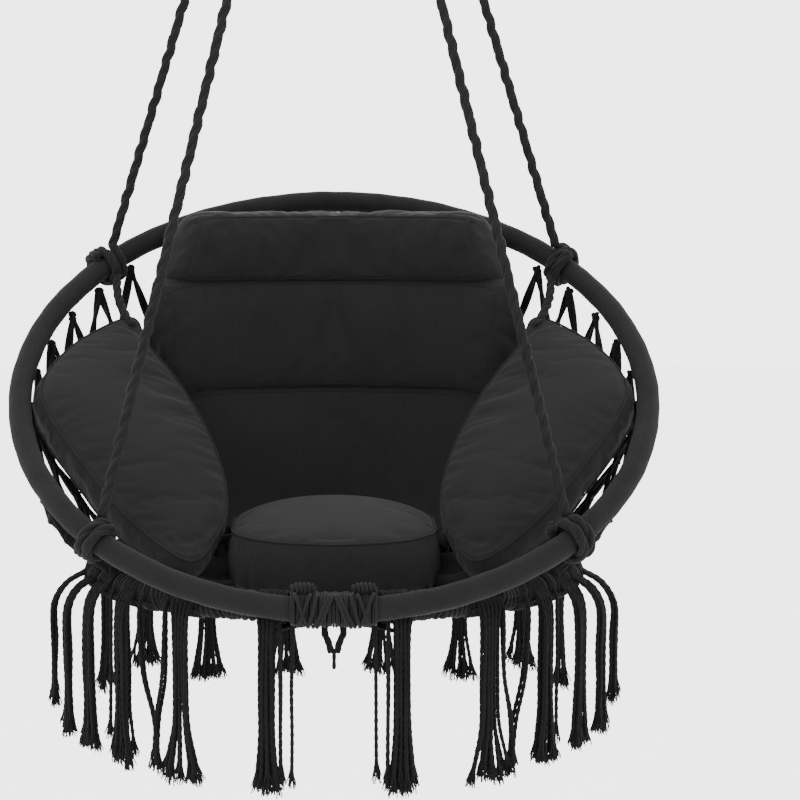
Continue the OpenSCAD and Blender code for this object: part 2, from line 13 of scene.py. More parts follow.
import bpy
import numpy as np
from mathutils import Vector
from mathutils.bvhtree import BVHTree
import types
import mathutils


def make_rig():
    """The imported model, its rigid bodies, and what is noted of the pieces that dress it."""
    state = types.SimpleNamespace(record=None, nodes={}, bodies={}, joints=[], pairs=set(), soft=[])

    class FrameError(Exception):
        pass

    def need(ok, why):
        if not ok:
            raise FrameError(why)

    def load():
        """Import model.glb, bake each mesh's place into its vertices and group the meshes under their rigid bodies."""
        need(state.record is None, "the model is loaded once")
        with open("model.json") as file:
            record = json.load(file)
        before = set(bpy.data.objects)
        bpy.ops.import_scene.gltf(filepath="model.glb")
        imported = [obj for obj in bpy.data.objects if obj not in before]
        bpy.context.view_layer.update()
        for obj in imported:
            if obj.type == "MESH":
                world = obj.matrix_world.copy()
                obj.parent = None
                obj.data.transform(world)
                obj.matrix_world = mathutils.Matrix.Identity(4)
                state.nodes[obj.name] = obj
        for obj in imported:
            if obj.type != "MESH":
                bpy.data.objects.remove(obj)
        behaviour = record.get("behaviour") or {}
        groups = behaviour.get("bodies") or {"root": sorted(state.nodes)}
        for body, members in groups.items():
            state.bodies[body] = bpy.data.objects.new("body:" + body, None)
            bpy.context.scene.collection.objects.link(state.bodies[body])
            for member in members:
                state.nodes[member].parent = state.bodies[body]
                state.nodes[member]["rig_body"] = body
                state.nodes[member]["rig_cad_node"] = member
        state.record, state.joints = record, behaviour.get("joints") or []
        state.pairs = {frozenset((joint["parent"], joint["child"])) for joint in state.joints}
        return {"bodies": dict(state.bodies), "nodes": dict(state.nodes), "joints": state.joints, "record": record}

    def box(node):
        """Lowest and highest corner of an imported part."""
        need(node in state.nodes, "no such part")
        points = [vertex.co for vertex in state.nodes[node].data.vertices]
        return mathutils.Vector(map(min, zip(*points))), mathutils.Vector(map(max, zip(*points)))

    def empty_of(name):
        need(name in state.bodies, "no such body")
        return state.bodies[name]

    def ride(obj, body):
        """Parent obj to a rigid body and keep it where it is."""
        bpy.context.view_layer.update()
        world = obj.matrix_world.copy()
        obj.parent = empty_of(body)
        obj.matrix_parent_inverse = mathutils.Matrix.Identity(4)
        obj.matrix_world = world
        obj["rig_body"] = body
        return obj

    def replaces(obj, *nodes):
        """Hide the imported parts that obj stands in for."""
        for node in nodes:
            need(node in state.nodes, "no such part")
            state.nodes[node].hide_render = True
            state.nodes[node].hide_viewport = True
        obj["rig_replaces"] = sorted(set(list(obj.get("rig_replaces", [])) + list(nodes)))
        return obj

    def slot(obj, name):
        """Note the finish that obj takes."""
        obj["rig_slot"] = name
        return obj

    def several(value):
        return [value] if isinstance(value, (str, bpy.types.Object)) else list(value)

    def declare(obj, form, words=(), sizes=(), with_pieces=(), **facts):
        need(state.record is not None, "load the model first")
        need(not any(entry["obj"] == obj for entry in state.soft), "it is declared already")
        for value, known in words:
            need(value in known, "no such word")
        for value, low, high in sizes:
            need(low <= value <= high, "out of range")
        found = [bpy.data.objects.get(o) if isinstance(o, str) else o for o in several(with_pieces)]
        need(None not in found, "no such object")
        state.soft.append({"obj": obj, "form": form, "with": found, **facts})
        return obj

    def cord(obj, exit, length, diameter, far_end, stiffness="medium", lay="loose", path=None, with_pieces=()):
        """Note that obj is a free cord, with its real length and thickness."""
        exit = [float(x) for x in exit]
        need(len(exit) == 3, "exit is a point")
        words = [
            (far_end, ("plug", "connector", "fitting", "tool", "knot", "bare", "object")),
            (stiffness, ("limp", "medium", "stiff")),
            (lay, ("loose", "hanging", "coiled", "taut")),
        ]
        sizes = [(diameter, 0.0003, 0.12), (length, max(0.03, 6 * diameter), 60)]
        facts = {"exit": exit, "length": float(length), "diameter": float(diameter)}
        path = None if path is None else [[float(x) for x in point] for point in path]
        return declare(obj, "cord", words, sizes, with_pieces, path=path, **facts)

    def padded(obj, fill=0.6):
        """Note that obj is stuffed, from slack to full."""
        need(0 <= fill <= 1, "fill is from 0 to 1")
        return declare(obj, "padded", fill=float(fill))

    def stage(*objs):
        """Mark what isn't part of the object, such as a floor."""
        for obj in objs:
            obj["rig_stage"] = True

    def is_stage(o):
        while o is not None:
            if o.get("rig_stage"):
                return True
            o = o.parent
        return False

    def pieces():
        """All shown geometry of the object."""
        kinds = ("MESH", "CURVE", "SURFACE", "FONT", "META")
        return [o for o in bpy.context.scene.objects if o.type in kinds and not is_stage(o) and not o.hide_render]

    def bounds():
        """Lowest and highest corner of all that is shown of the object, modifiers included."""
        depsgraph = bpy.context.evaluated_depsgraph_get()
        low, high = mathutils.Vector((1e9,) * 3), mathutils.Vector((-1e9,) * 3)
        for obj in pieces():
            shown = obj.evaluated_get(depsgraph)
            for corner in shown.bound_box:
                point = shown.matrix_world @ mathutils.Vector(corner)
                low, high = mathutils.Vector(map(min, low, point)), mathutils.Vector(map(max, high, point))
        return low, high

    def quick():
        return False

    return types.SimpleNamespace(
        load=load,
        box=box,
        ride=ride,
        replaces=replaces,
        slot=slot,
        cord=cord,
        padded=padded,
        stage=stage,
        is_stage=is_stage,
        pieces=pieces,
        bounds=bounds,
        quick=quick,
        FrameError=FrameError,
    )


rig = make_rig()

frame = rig.load()
cad_low, cad_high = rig.bounds()
print("bodies:", sorted(frame["bodies"]), "nodes:", len(frame["nodes"]))

# %% [markdown]
# ## Sizes taken from the frame
# The wound upper ring gives the chair's middle and the ring's radius. Its box is wider than it
# is deep or high because the ring leans back, so the lean follows from the box as well. The
# lower ring lies level. An angle round a ring is 0 at the front and 90 on the chair's +X side.

# %% Ring sizes
upper_r = 0.0147
lower_r = 0.0137
rope_d = 0.012
strand_d = 0.004
piece_gap = 0.0003


def box_middle(node):
    low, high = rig.box(node)
    return (np.array(low) + np.array(high)) / 2


def box_half(node):
    low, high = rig.box(node)
    return (np.array(high) - np.array(low)) / 2


chair_middle = box_middle("upper_ring_wrap")
upper_ring_r = box_half("upper_ring_wrap")[0] - upper_r
ring_lean = math.asin((box_half("upper_ring_wrap")[2] - upper_r) / upper_ring_r)
lower_middle = box_middle("lower_ring_wrap")
lower_ring_r = box_half("lower_ring_wrap")[0] - lower_r
print("upper ring", round(upper_ring_r, 4), "leans", round(math.degrees(ring_lean), 2), "degrees")
print("lower ring", round(lower_ring_r, 4), "middle", lower_middle.round(4))


def upper_point(angle):
    a = math.radians(angle)
    back = upper_ring_r * math.cos(a)
    return chair_middle + np.array([upper_ring_r * math.sin(a), -back * math.cos(ring_lean),
                                    -back * math.sin(ring_lean)])


def lower_point(angle):
    a = math.radians(angle)
    return lower_middle + lower_ring_r * np.array([math.sin(a), -math.cos(a), 0])


# %% [markdown]
# ## Camera
# A long lens from almost three metres keeps the ring's ellipse true. It looks down by five
# degrees. The lens is shifted sideways and a little down, as a product shot is framed, so that
# the chair stands left of the middle and the ropes leave the picture at its top.

# %% Camera
camera_distance = 2.9
camera_rise = math.radians(5)
camera_data = bpy.data.cameras.new("studio_camera")
camera_data.sensor_width = 36
camera_data.lens = 105.9
camera_data.shift_x = 0.0825
camera_data.shift_y = -0.018
camera = bpy.data.objects.new("studio_camera", camera_data)
bpy.context.scene.collection.objects.link(camera)
step_back = Vector((0, -math.cos(camera_rise), math.sin(camera_rise))) * camera_distance
camera.location = Vector(chair_middle) + step_back
camera.rotation_euler = (-step_back).to_track_quat("-Z", "Y").to_euler()
bpy.context.scene.camera = camera

# %% [markdown]
# ## Room and light
# A pale floor and a pale sky give soft light from all round, and large area lights shape the
# dark cloth: a key from the upper left, a fill from the right, one over the top and one behind
# for the edges. Black cord eats light, so the lights are strong.

# %% Floor and lights
floor_drop = 1.9
floor_z = cad_low.z - floor_drop
bpy.ops.mesh.primitive_plane_add(size=60, location=(0, 0, floor_z))
floor = bpy.context.object
floor.name = "studio_floor"
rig.stage(floor)


def area_light(name, place, size, watts):
    data = bpy.data.lights.new(name, "AREA")
    data.shape = "RECTANGLE"
    data.size, data.size_y = size
    data.energy = watts
    lamp = bpy.data.objects.new(name, data)
    bpy.context.scene.collection.objects.link(lamp)
    lamp.location = Vector(chair_middle) + Vector(place)
    lamp.rotation_euler = (Vector(chair_middle) - lamp.location).to_track_quat("-Z", "Y").to_euler()
    return lamp


area_light("key_light", (-1.9, -2.6, 1.7), (1.6, 1.6), 90)
area_light("fill_light", (2.6, -2.2, 0.5), (1.8, 1.8), 50)
area_light("top_light", (0, -0.4, 3.0), (2.2, 2.2), 30)
area_light("back_light", (0.6, 2.8, 1.2), (2.0, 1.6), 60)

world = bpy.data.worlds.new("studio_sky")
world.use_nodes = True
sky = world.node_tree.nodes["Background"]
sky.inputs["Color"].default_value = (1, 1, 1, 1)
sky.inputs["Strength"].default_value = 4.0
bpy.context.scene.world = world

# %% [markdown]
# ## A way to write finishes
# A material is a graph of nodes. Writing it link by link hides what it does, so a small class
# wraps one socket and lets Python's own operators add the Math nodes. A second class holds the
# material and has one method that adds any other node.

# %% Finishes as expressions
class Value:
    """A socket of a material that takes part in arithmetic."""

    def __init__(self, finish, socket):
        self.finish = finish
        self.socket = socket

    def maths(self, operation, a, b=0.0, c=0.0):
        return self.finish.add("ShaderNodeMath", {"operation": operation}, {0: a, 1: b, 2: c})

    def __add__(self, other):
        return self.maths("ADD", self, other)

    __radd__ = __add__

    def __sub__(self, other):
        return self.maths("SUBTRACT", self, other)

    def __rsub__(self, other):
        return self.maths("SUBTRACT", other, self)

    def __mul__(self, other):
        return self.maths("MULTIPLY", self, other)

    __rmul__ = __mul__

    def __pow__(self, other):
        return self.maths("POWER", self, other)


class Finish:
    """A material, its principled shader, and a way to add nodes to it."""

    def __init__(self, name, uniform):
        self.material = bpy.data.materials.new(name)
        self.material.use_nodes = True
        self.tree = self.material.node_tree
        self.shader = self.tree.nodes["Principled BSDF"]
        for socket, value in uniform.items():
            self.shader.inputs[socket].default_value = value

    def add(self, kind, settings, sockets, output=0):
        node = self.tree.nodes.new(kind)
        for name, value in settings.items():
            if name == "stops":
                ramp = node.color_ramp
                while len(ramp.elements) < len(value):
                    ramp.elements.new(0.5)
                for element, (place, colour) in zip(ramp.elements, value):
                    element.position = place
                    element.color = colour
            else:
                setattr(node, name, value)
        for name, value in sockets.items():
            self.join(value, node.inputs[name])
        return Value(self, node.outputs[output])

    def join(self, value, socket):
        if isinstance(value, Value):
            self.tree.links.new(value.socket, socket)
        else:
            socket.default_value = value

    def give(self, socket, value):
        self.join(value, self.shader.inputs[socket])

    def place(self):
        return self.add("ShaderNodeTexCoord", {}, {}, "Object")

    def speckle(self, scale, detail=2.0, stretch=(1, 1, 1)):
        moved = self.add("ShaderNodeMapping", {}, {"Vector": self.place(), "Scale": stretch})
        return self.add("ShaderNodeTexNoise", {}, {"Vector": moved, "Scale": scale, "Detail": detail})

    def blend(self, amount, low, high):
        return self.add("ShaderNodeMix", {"data_type": "RGBA"}, {0: amount, 6: low, 7: high}, 2)

    def bump(self, height, distance, strength=1.0):
        normal = self.add("ShaderNodeBump", {}, {"Height": height, "Distance": distance,
                                                "Strength": strength})
        self.give("Normal", normal)


# %% [markdown]
# ## Cord finish
# The cord is dyed cotton and polyester. It is almost black and dull, and tiny loose fibres give
# it a soft grey bloom at the edges. Two noises do the work: a coarse one that changes the dye's
# depth along the cord, and a fine one for the fibres, which also lifts the surface.

# %% Cord finish
def cord_finish(name, dark, light, sheen):
    finish = Finish(name, {"Sheen Weight": sheen, "Sheen Roughness": 0.45,
                           "Specular IOR Level": 0.06})
    fibres = finish.speckle(1400, 3)
    dye = finish.speckle(28, 3)
    tone = fibres * 0.55 + dye * 0.45
    finish.give("Base Color", finish.blend(tone, dark, light))
    finish.give("Roughness", 0.78 + fibres * 0.2)
    finish.bump(fibres, 0.0006, 0.6)
    return finish.material


rope_cord = cord_finish("twisted_rope_cord", (0.0015, 0.0015, 0.0016, 1), (0.0085, 0.0085, 0.0088, 1), 0.03)
wound_cord = cord_finish("wound_ring_cord", (0.0018, 0.0018, 0.0019, 1), (0.0088, 0.0088, 0.0091, 1), 0.03)
fringe_cord = cord_finish("fringe_cord", (0.0010, 0.0010, 0.0011, 1), (0.0050, 0.0050, 0.0052, 1), 0.015)

# %% [markdown]
# ## Tubes along a path
# Every cord is a round tube swept along a path. The ring of points at each step is turned by as
# little as possible from the one before, so the tube never twists by itself. A rope is three
# such tubes laid round a common path.

# %% Tubes
def even_path(points, step):
    """A smooth curve through the points, cut into steps of about the same length."""
    p = np.array(points, float)
    padded = np.vstack([2 * p[0] - p[1], p, 2 * p[-1] - p[-2]])
    fine = []
    for i in range(1, len(padded) - 2):
        a, b, c, d = padded[i - 1:i + 3]
        count = max(2, int(np.linalg.norm(c - b) / step * 3))
        t = np.linspace(0, 1, count, endpoint=False)[:, None]
        fine.append(b + 0.5 * t * (c - a + t * (2 * a - 5 * b + 4 * c - d
                                               + t * (3 * (b - c) + d - a))))
    fine = np.vstack(fine + [p[-1:]])
    lengths = np.concatenate([[0], np.cumsum(np.linalg.norm(np.diff(fine, axis=0), axis=1))])
    stations = np.linspace(0, lengths[-1], max(2, int(round(lengths[-1] / step)) + 1))
    return np.column_stack([np.interp(stations, lengths, fine[:, k]) for k in range(3)])


def path_length(points):
    return float(np.linalg.norm(np.diff(np.array(points), axis=0), axis=1).sum())


def path_frames(points):
    """Two unit directions square to the path at each point."""
    along = np.gradient(points, axis=0)
    along /= np.linalg.norm(along, axis=1)[:, None]
    start = np.cross(along[0], [0, 0, 1]) if abs(along[0][2]) < 0.9 else np.cross(along[0], [0, 1, 0])
    side = start / np.linalg.norm(start)
    sides = []
    for direction in along:
        side = side - direction * (side @ direction)
        side = side / np.linalg.norm(side)
        sides.append(side)
    sides = np.array(sides)
    return sides, np.cross(along, sides)


def tube(points, radius, sides=8):
    """Vertices and faces of a closed tube; radius is one number or one for each point."""
    points = np.array(points, float)
    across, up = path_frames(points)
    turn = np.linspace(0, 2 * math.pi, sides, endpoint=False)
    radius = np.broadcast_to(np.array(radius, float), (len(points),))[:, None, None]
    ring = across[:, None] * np.cos(turn)[None, :, None] + up[:, None] * np.sin(turn)[None, :, None]
    vertices = (points[:, None] + radius * ring).reshape(-1, 3)
    i = np.arange(len(points) - 1)[:, None] * sides
    k = np.arange(sides)[None, :]
    following = (k + 1) % sides
    walls = np.stack([i + k, i + following, i + sides + following, i + sides + k], -1).reshape(-1, 4)
    last = (len(points) - 1) * sides
    ends = [list(range(sides - 1, -1, -1)), list(range(last, last + sides))]
    return vertices, walls.tolist() + ends


def strand_paths(points, count, radius, lay, start=0.0):
    """Paths of the strands that are laid round a common path, one turn in each lay."""
    points = np.array(points, float)
    across, up = path_frames(points)
    run = np.concatenate([[0], np.cumsum(np.linalg.norm(np.diff(points, axis=0), axis=1))])
    paths = []
    for k in range(count):
        turn = (start + 2 * math.pi * (k / count + run / lay))[:, None]
        paths.append(points + radius * (across * np.cos(turn) + up * np.sin(turn)))
    return paths


def joined(parts):
    """Several lots of vertices and faces as one."""
    vertices, faces, used = [], [], 0
    for part_vertices, part_faces in parts:
        vertices.append(part_vertices)
        faces += [[used + v for v in face] for face in part_faces]
        used += len(part_vertices)
    return np.vstack(vertices), faces


def make_piece(name, parts, material, body, slot, stands_for=()):
    """A mesh piece from lots of vertices and faces, which rides on a body of the frame."""
    vertices, faces = joined(parts)
    mesh = bpy.data.meshes.new(name)
    mesh.from_pydata(vertices.tolist(), [], faces)
    mesh.polygons.foreach_set("use_smooth", [True] * len(mesh.polygons))
    mesh.materials.append(material)
    piece = bpy.data.objects.new(name, mesh)
    bpy.context.scene.collection.objects.link(piece)
    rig.ride(piece, body)
    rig.slot(piece, slot)
    if stands_for:
        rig.replaces(piece, *stands_for)
    return piece


# %% [markdown]
# ## Suspension ropes
# Each rope runs straight and taut from its eye on the rope ring to its hitch on the upper ring.
# It is three soft strands laid together, and because it was laid by hand its middle wanders a
# little from side to side. A plain tube with a bump map would lose that ragged outline, so the
# strands are real. The routes are the ones that the frame was made with.

# %% Ropes
rope_lay = 0.064
rope_strand_r = 0.0037
rope_wander = 0.0007
rope_front_route = [[0.017, -0.001, -0.1905], [0.266, -0.283, -1.261]]
rope_back_route = [[0.039, 0.001, -0.1703], [0.290, 0.126, -0.963]]


def rope_strands(path, start=0.0):
    lay_r = rope_d * 0.55 - rope_strand_r
    return [tube(p, rope_strand_r, 8) for p in strand_paths(path, 3, lay_r, rope_lay, start)]


def wandering(path, size, lay, start):
    """The path as a slow screw of a small radius, which dies away at both ends."""
    moved = strand_paths(path, 1, 1.0, lay, start)[0] - path
    fade = np.minimum(1, np.minimum(np.arange(len(path)), np.arange(len(path))[::-1]) / 8)
    return path + moved * (size * fade)[:, None]


for side, side_name in ((-1, "left"), (1, "right")):
    for route, end_name in ((rope_front_route, "front"), (rope_back_route, "back")):
        name = f"rope_{end_name}_{side_name}"
        route = np.array(route) * [side, 1, 1]
        path = even_path(route, 0.006)
        wave = wandering(path, rope_wander, 0.031, side + len(end_name))
        rope = make_piece(name + "_laid", rope_strands(wave, side), rope_cord, "chair", "cord_cotton",
                          [name])
        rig.cord(rope, exit=route[0], length=path_length(route), diameter=rope_d, far_end="object",
                stiffness="medium", lay="taut", path=path[::5].tolist() + [path[-1].tolist()])
        print(name, "length", round(path_length(route), 3), "m")

# %% [markdown]
# ## Wound rings
# Each ring is a steel tube with cord wound tightly round it, hundreds of turns side by side.
# One long coiled tube would be heavy, and most of it would be hidden. A ridged skin looks the
# same: its radius rises and falls once for each turn, and the ridges climb by one turn's width
# on their way round, just as a real winding does. Slow swells keep it from looking machined.

# %% Wound rings
winding_pitch = 0.0027
winding_ridge = 0.0006
steps_per_winding = 4
winding_sides = 20


def ring_axes(ring_point, angle):
    """A point on a ring's middle line, with the outward, upward and forward directions there."""
    middle = (ring_point(0) + ring_point(180)) / 2
    point = ring_point(angle)
    outward = (point - middle) / np.linalg.norm(point - middle)
    upward = np.cross(ring_point(0) - middle, ring_point(90) - middle)
    upward = upward / np.linalg.norm(upward)
    return point, outward, upward, np.cross(upward, outward)


def wound_skin(ring_point, ring_r, outer_r):
    windings = int(round(2 * math.pi * ring_r / winding_pitch))
    stations = windings * steps_per_winding
    middle = (ring_point(0) + ring_point(180)) / 2
    front = (ring_point(0) - middle) / ring_r
    right = (ring_point(90) - middle) / ring_r
    upward = np.cross(front, right)
    a = np.linspace(0, 2 * math.pi, stations, endpoint=False)[:, None]
    turn = np.linspace(0, 2 * math.pi, winding_sides, endpoint=False)[None, :]
    cycle = np.arange(stations)[:, None] / steps_per_winding + turn / (2 * math.pi)
    swell = 0.0003 * (np.sin(a * 23) * np.sin(a * 7 + turn) + np.sin(a * 61 + 2 * turn) * 0.6)
    radius = outer_r - 0.0005 - winding_ridge * (1 - np.abs(np.sin(math.pi * cycle))) + swell
    outward = front * np.cos(a)[..., None] + right * np.sin(a)[..., None]
    way = outward * np.cos(turn)[..., None] + upward * np.sin(turn)[..., None]
    vertices = middle + ring_r * outward + radius[..., None] * way
    i = np.arange(stations)[:, None]
    k = np.arange(winding_sides)[None, :]
    next_i = (i + 1) % stations
    next_k = (k + 1) % winding_sides
    faces = np.stack([i * winding_sides + k, next_i * winding_sides + k,
                      next_i * winding_sides + next_k, i * winding_sides + next_k], -1)
    return vertices.reshape(-1, 3), faces.reshape(-1, 4).tolist()


for name, ring_point, ring_r, outer_r in (("upper_ring_wrap", upper_point, upper_ring_r, upper_r),
                                          ("lower_ring_wrap", lower_point, lower_ring_r, lower_r)):
    make_piece(name + "_wound", [wound_skin(ring_point, ring_r, outer_r)], wound_cord, "chair",
               "cord_cotton", [name])
    print(name, "has", int(round(2 * math.pi * ring_r / winding_pitch)), "turns of cord")

# %% [markdown]
# ## Hitches and eyes
# At the bottom, each rope takes two turns round the upper ring and is tucked in. At the top, it
# ends in an eye that is spliced round the rope ring and whipped with thin cord. A coil round
# the ring's tube gives the hitch, and it starts a little further out, where the rope arrives.
# At the back, the tail of the hitch runs on to the tip of the side cushion and holds it up.

# %% Hitches
hitch_r = upper_r + piece_gap + rope_d / 2
hitch_angles = {"front": 45, "back": 60 + 7.5 * 240 / 26}
tail_d = 0.0125
cushion_tip = np.array([0.261, 0.137, 0.075])


def hitch_path(angle, arrival):
    """Two turns round the upper ring's tube; the first starts outside, under the rope."""
    point, outward, upward, forward = ring_axes(upper_point, angle)
    first = math.atan2((arrival - point) @ upward, (arrival - point) @ outward)
    t = np.linspace(0, 4 * math.pi, 72)[:, None]
    radius = hitch_r + 0.005 * np.exp(-t / 0.5)
    slide = (rope_d + piece_gap) * (t / (2 * math.pi) - 1)
    return (point + forward * slide + radius * (outward * np.cos(first + t)
                                               + upward * np.sin(first + t)))


for side, side_name in ((-1, "left"), (1, "right")):
    for end_name, route in (("front", rope_front_route), ("back", rope_back_route)):
        arrival = np.array(route[1]) * [side, 1, 1]
        path = hitch_path(side * hitch_angles[end_name], arrival)
        parts = rope_strands(path)
        if end_name == "back":
            tip = chair_middle + (cushion_tip + [-0.002, -0.012, -0.010]) * [side, 1, 1]
            ring_side, outward, upward, forward = ring_axes(upper_point, side * hitch_angles["back"])
            start = ring_side - outward * (hitch_r - 0.004)
            bend = (start + tip) / 2 + np.array([side * 0.006, 0, -0.004])
            tail = even_path([start, bend, tip], 0.005)
            parts += [tube(p, tail_d * 0.27, 7) for p in strand_paths(tail, 3, tail_d * 0.23, 0.04)]
        make_piece(f"hitch_{end_name}_{side_name}_turns", parts, rope_cord, "chair", "cord_cotton",
                   [f"hitch_{end_name}_{side_name}"])

# %% [markdown]
# ## Eyes and whipping
# An eye is the same rope bent into a small circle, so its strands follow a closed path. The
# whipping is one thin cord wound tightly round the rope just below the eye, over a short neck
# where the rope's end is tucked back into itself.

# %% Rope eyes
eye_turn_angles = (-62, -22, 22, 62)
ring_wire_r = 0.004
rope_ring_middle = box_middle("rope_ring")
rope_ring_r = box_half("rope_ring")[0] - ring_wire_r
eye_r = ring_wire_r + piece_gap + rope_d / 2
whipping_r = 0.0009
whipping_turns = 12

eye_parts = []
for angle in eye_turn_angles:
    a = math.radians(angle)
    down = np.array([math.sin(a), 0, -math.cos(a)])
    seat = rope_ring_middle + rope_ring_r * down
    t = np.linspace(0, 2 * math.pi, 41)[:, None]
    circle = seat + eye_r * (down * np.cos(t) + np.array([0, 1, 0]) * np.sin(t))
    lay = path_length(circle)
    eye_parts += [tube(p, rope_strand_r, 8)
                  for p in strand_paths(circle, 3, rope_d / 2 - rope_strand_r, lay)]
make_piece("rope_eyes_spliced", eye_parts, rope_cord, "chair", "cord_cotton", ["rope_eyes"])

whipping_parts = []
for side in (-1, 1):
    for route in (rope_front_route, rope_back_route):
        start, end = np.array(route) * [side, 1, 1]
        along = (end - start) / np.linalg.norm(end - start)
        neck = even_path([start - along * 0.010, start + along * 0.008], 0.002)
        whipping_parts.append(tube(neck, rope_d * 0.46, 12))
        core = even_path([start + along * 0.006, start + along * 0.030], 0.0008)
        coil = strand_paths(core, 1, rope_d * 0.55 + 0.0003, 0.024 / whipping_turns)[0]
        fine = even_path(coil, 0.0022)
        whipping_parts.append(tube(fine, whipping_r, 6))
make_piece("rope_whippings", whipping_parts, fringe_cord, "chair", "cord_cotton")
print("whipping turns on each rope:", whipping_turns)

# %% [markdown]
# ## Front lashings
# The two rings are bound together at the front. Turns of cord lie side by side round both
# rings, and a second cord crosses over them in a zigzag that makes a steep roof in the middle
# and crosses on each side of it. Two barrel knots close the binding on top.

# %% Front lashings
lashing_half_w = 0.047
lashing_pitch = 0.0031
lashing_cord_r = 0.0016
lashing_bore_r = upper_r + 0.0006
zigzag_cord_r = 0.0021
knot_x = 0.034


def rings_at(x):
    """Middle points of the two rings where they pass at this x, at the front."""
    return (upper_point(math.degrees(math.asin(x / upper_ring_r))),
            lower_point(math.degrees(math.asin(x / lower_ring_r))))


def round_both(x, radius, slope):
    """A closed loop round both rings in a plane that leans sideways by slope."""
    upper, lower = rings_at(x)
    line = lower[1:] - upper[1:]
    first = math.atan2(line[1], line[0])
    points = []
    for middle, from_turn in ((lower, first - math.pi / 2), (upper, first + math.pi / 2)):
        for t in np.linspace(from_turn, from_turn + math.pi, 13):
            points.append([x + slope * math.cos(t), middle[1] + radius * math.cos(t),
                           middle[2] + radius * math.sin(t)])
    return np.array(points + points[:1])


lashing_parts = []
for i, x in enumerate(np.arange(-lashing_half_w, lashing_half_w + 0.001, lashing_pitch)):
    lift = 0.0006 * math.sin(i * 1.7)
    lashing_parts.append(tube(round_both(x, lashing_bore_r + lashing_cord_r + lift,
                                         0.001 * math.sin(i * 2.3)), lashing_cord_r, 7))


def over_front(x_top, x_low, radius, top_turn=112, low_turn=238):
    """A path over the front face of the upper ring, from its top to its underside."""
    points = []
    for t in np.linspace(0, 1, 13):
        x = x_top + (x_low - x_top) * t
        upper = rings_at(x)[0]
        turn = math.radians(top_turn + (low_turn - top_turn) * t)
        points.append(upper + radius * np.array([0, math.cos(turn), math.sin(turn)]))
    return np.array(points)


zigzag = [(0, 0.019), (0, -0.019), (0.0035, 0.0235), (-0.0035, -0.0235)]
for side in (-1, 1):
    zigzag += [(side * 0.026, side * 0.040), (side * 0.044, side * 0.028),
               (side * 0.018, side * 0.029)]
for x_top, x_low in zigzag:
    path = over_front(x_top, x_low, lashing_bore_r + 2 * lashing_cord_r + zigzag_cord_r * 0.8)
    lashing_parts.append(tube(path, zigzag_cord_r, 8))
make_piece("front_lashings_cord", lashing_parts, wound_cord, "chair", "cord_cotton",
           ["front_lashings"])

knot_parts = []
knot_half_w = 0.0135
knot_cord_r = 0.0019
for side in (-1, 1):
    upper = rings_at(side * knot_x)[0]
    middle = upper + np.array([0, 0, lashing_bore_r + 2 * lashing_cord_r + 0.0055])
    t = np.linspace(-1, 1, 90)
    barrel = 0.0012 + 0.0042 * np.sqrt(np.clip(1 - t ** 2, 0, 1))
    turn = t * math.pi * 6
    coil = middle + np.column_stack([t * knot_half_w, barrel * np.cos(turn) * 1.2,
                                     barrel * np.sin(turn)])
    knot_parts.append(tube(coil, knot_cord_r, 7))
    core = middle + np.column_stack([t * knot_half_w, 0 * t, 0 * t])
    knot_parts.append(tube(core[::9], 0.0012 + 0.0038 * np.sqrt(np.clip(1 - t[::9] ** 2, 0, 1)), 10))
make_piece("lashing_knots_barrel", knot_parts, wound_cord, "chair", "cord_cotton",
           ["lashing_knots"])
print("lashing turns:", len(lashing_parts) - len(zigzag))

# %% [markdown]
# ## The net
# The net fills the space between the rings at the sides and back. Each cord of it is a pair of
# thin cords, and where four pairs meet they are knotted. The knots lie on straight lines from
# one ring to the other, which bulge outwards where the cushions press on them, and every second
# row is shifted by half a mesh. A knot is drawn as a real one: a trefoil, pulled tight.

# %% Net knots
net_from = 60
net_columns = 26
net_rows = 4
net_step = (360 - 2 * net_from) / net_columns
net_knot_r = 0.0075
net_bulge = 0.022
pair_cord_r = 0.0028
trefoil_cord_r = 0.0028


def toward(a, b, along):
    """The direction from a to b with what lies along a ring's own direction taken away."""
    way = (b - a) - along * ((b - a) @ along)
    return way / np.linalg.norm(way)


def net_knot(column, row):
    angle = net_from + column * net_step
    t = row / net_rows
    upper, lower = upper_point(angle), lower_point(angle)
    upper_along = ring_axes(upper_point, angle)[3]
    lower_along = ring_axes(lower_point, angle)[3]
    start = upper + (upper_r + piece_gap + net_knot_r) * toward(upper, lower, upper_along)
    end = lower + (lower_r + piece_gap + net_knot_r) * toward(lower, upper, lower_along)
    a = math.radians(angle)
    open_up = min(1, (1 - math.cos(a - math.radians(20))) / 0.6)
    swell = net_bulge * math.sin(math.pi * t) * open_up
    return start + (end - start) * t + swell * np.array([math.sin(a), -math.cos(a), 0])


def trefoil(middle, outward, size, spin, cord_r=trefoil_cord_r, flat=1.0):
    """A tight overhand knot that faces outward."""
    t = np.linspace(0, 2 * math.pi, 43)
    reach = (size - cord_r) / 3
    shape = np.column_stack([np.sin(t) + 2 * np.sin(2 * t), np.cos(t) - 2 * np.cos(2 * t),
                             -1.25 * flat * np.sin(3 * t)]) * reach
    side = np.cross(outward, [0, 0, 1]) if abs(outward[2]) < 0.9 else np.array([1.0, 0, 0])
    side = side / np.linalg.norm(side)
    up = np.cross(side, outward)
    turned = (side * math.cos(spin) + up * math.sin(spin), up * math.cos(spin) - side * math.sin(spin))
    path = middle + shape[:, :1] * turned[0] + shape[:, 1:2] * turned[1] + shape[:, 2:] * outward
    return tube(path, cord_r, 6)


def cord_pair(a, b, start):
    """Two thin cords that lie beside each other from a to b and cross once or twice."""
    path = even_path([a, (a + b) / 2 + net_slack * (b - a)[[1, 2, 0]], b], 0.006)
    return [tube(p, pair_cord_r, 6) for p in strand_paths(path, 2, pair_cord_r * 0.95, 0.16, start)]


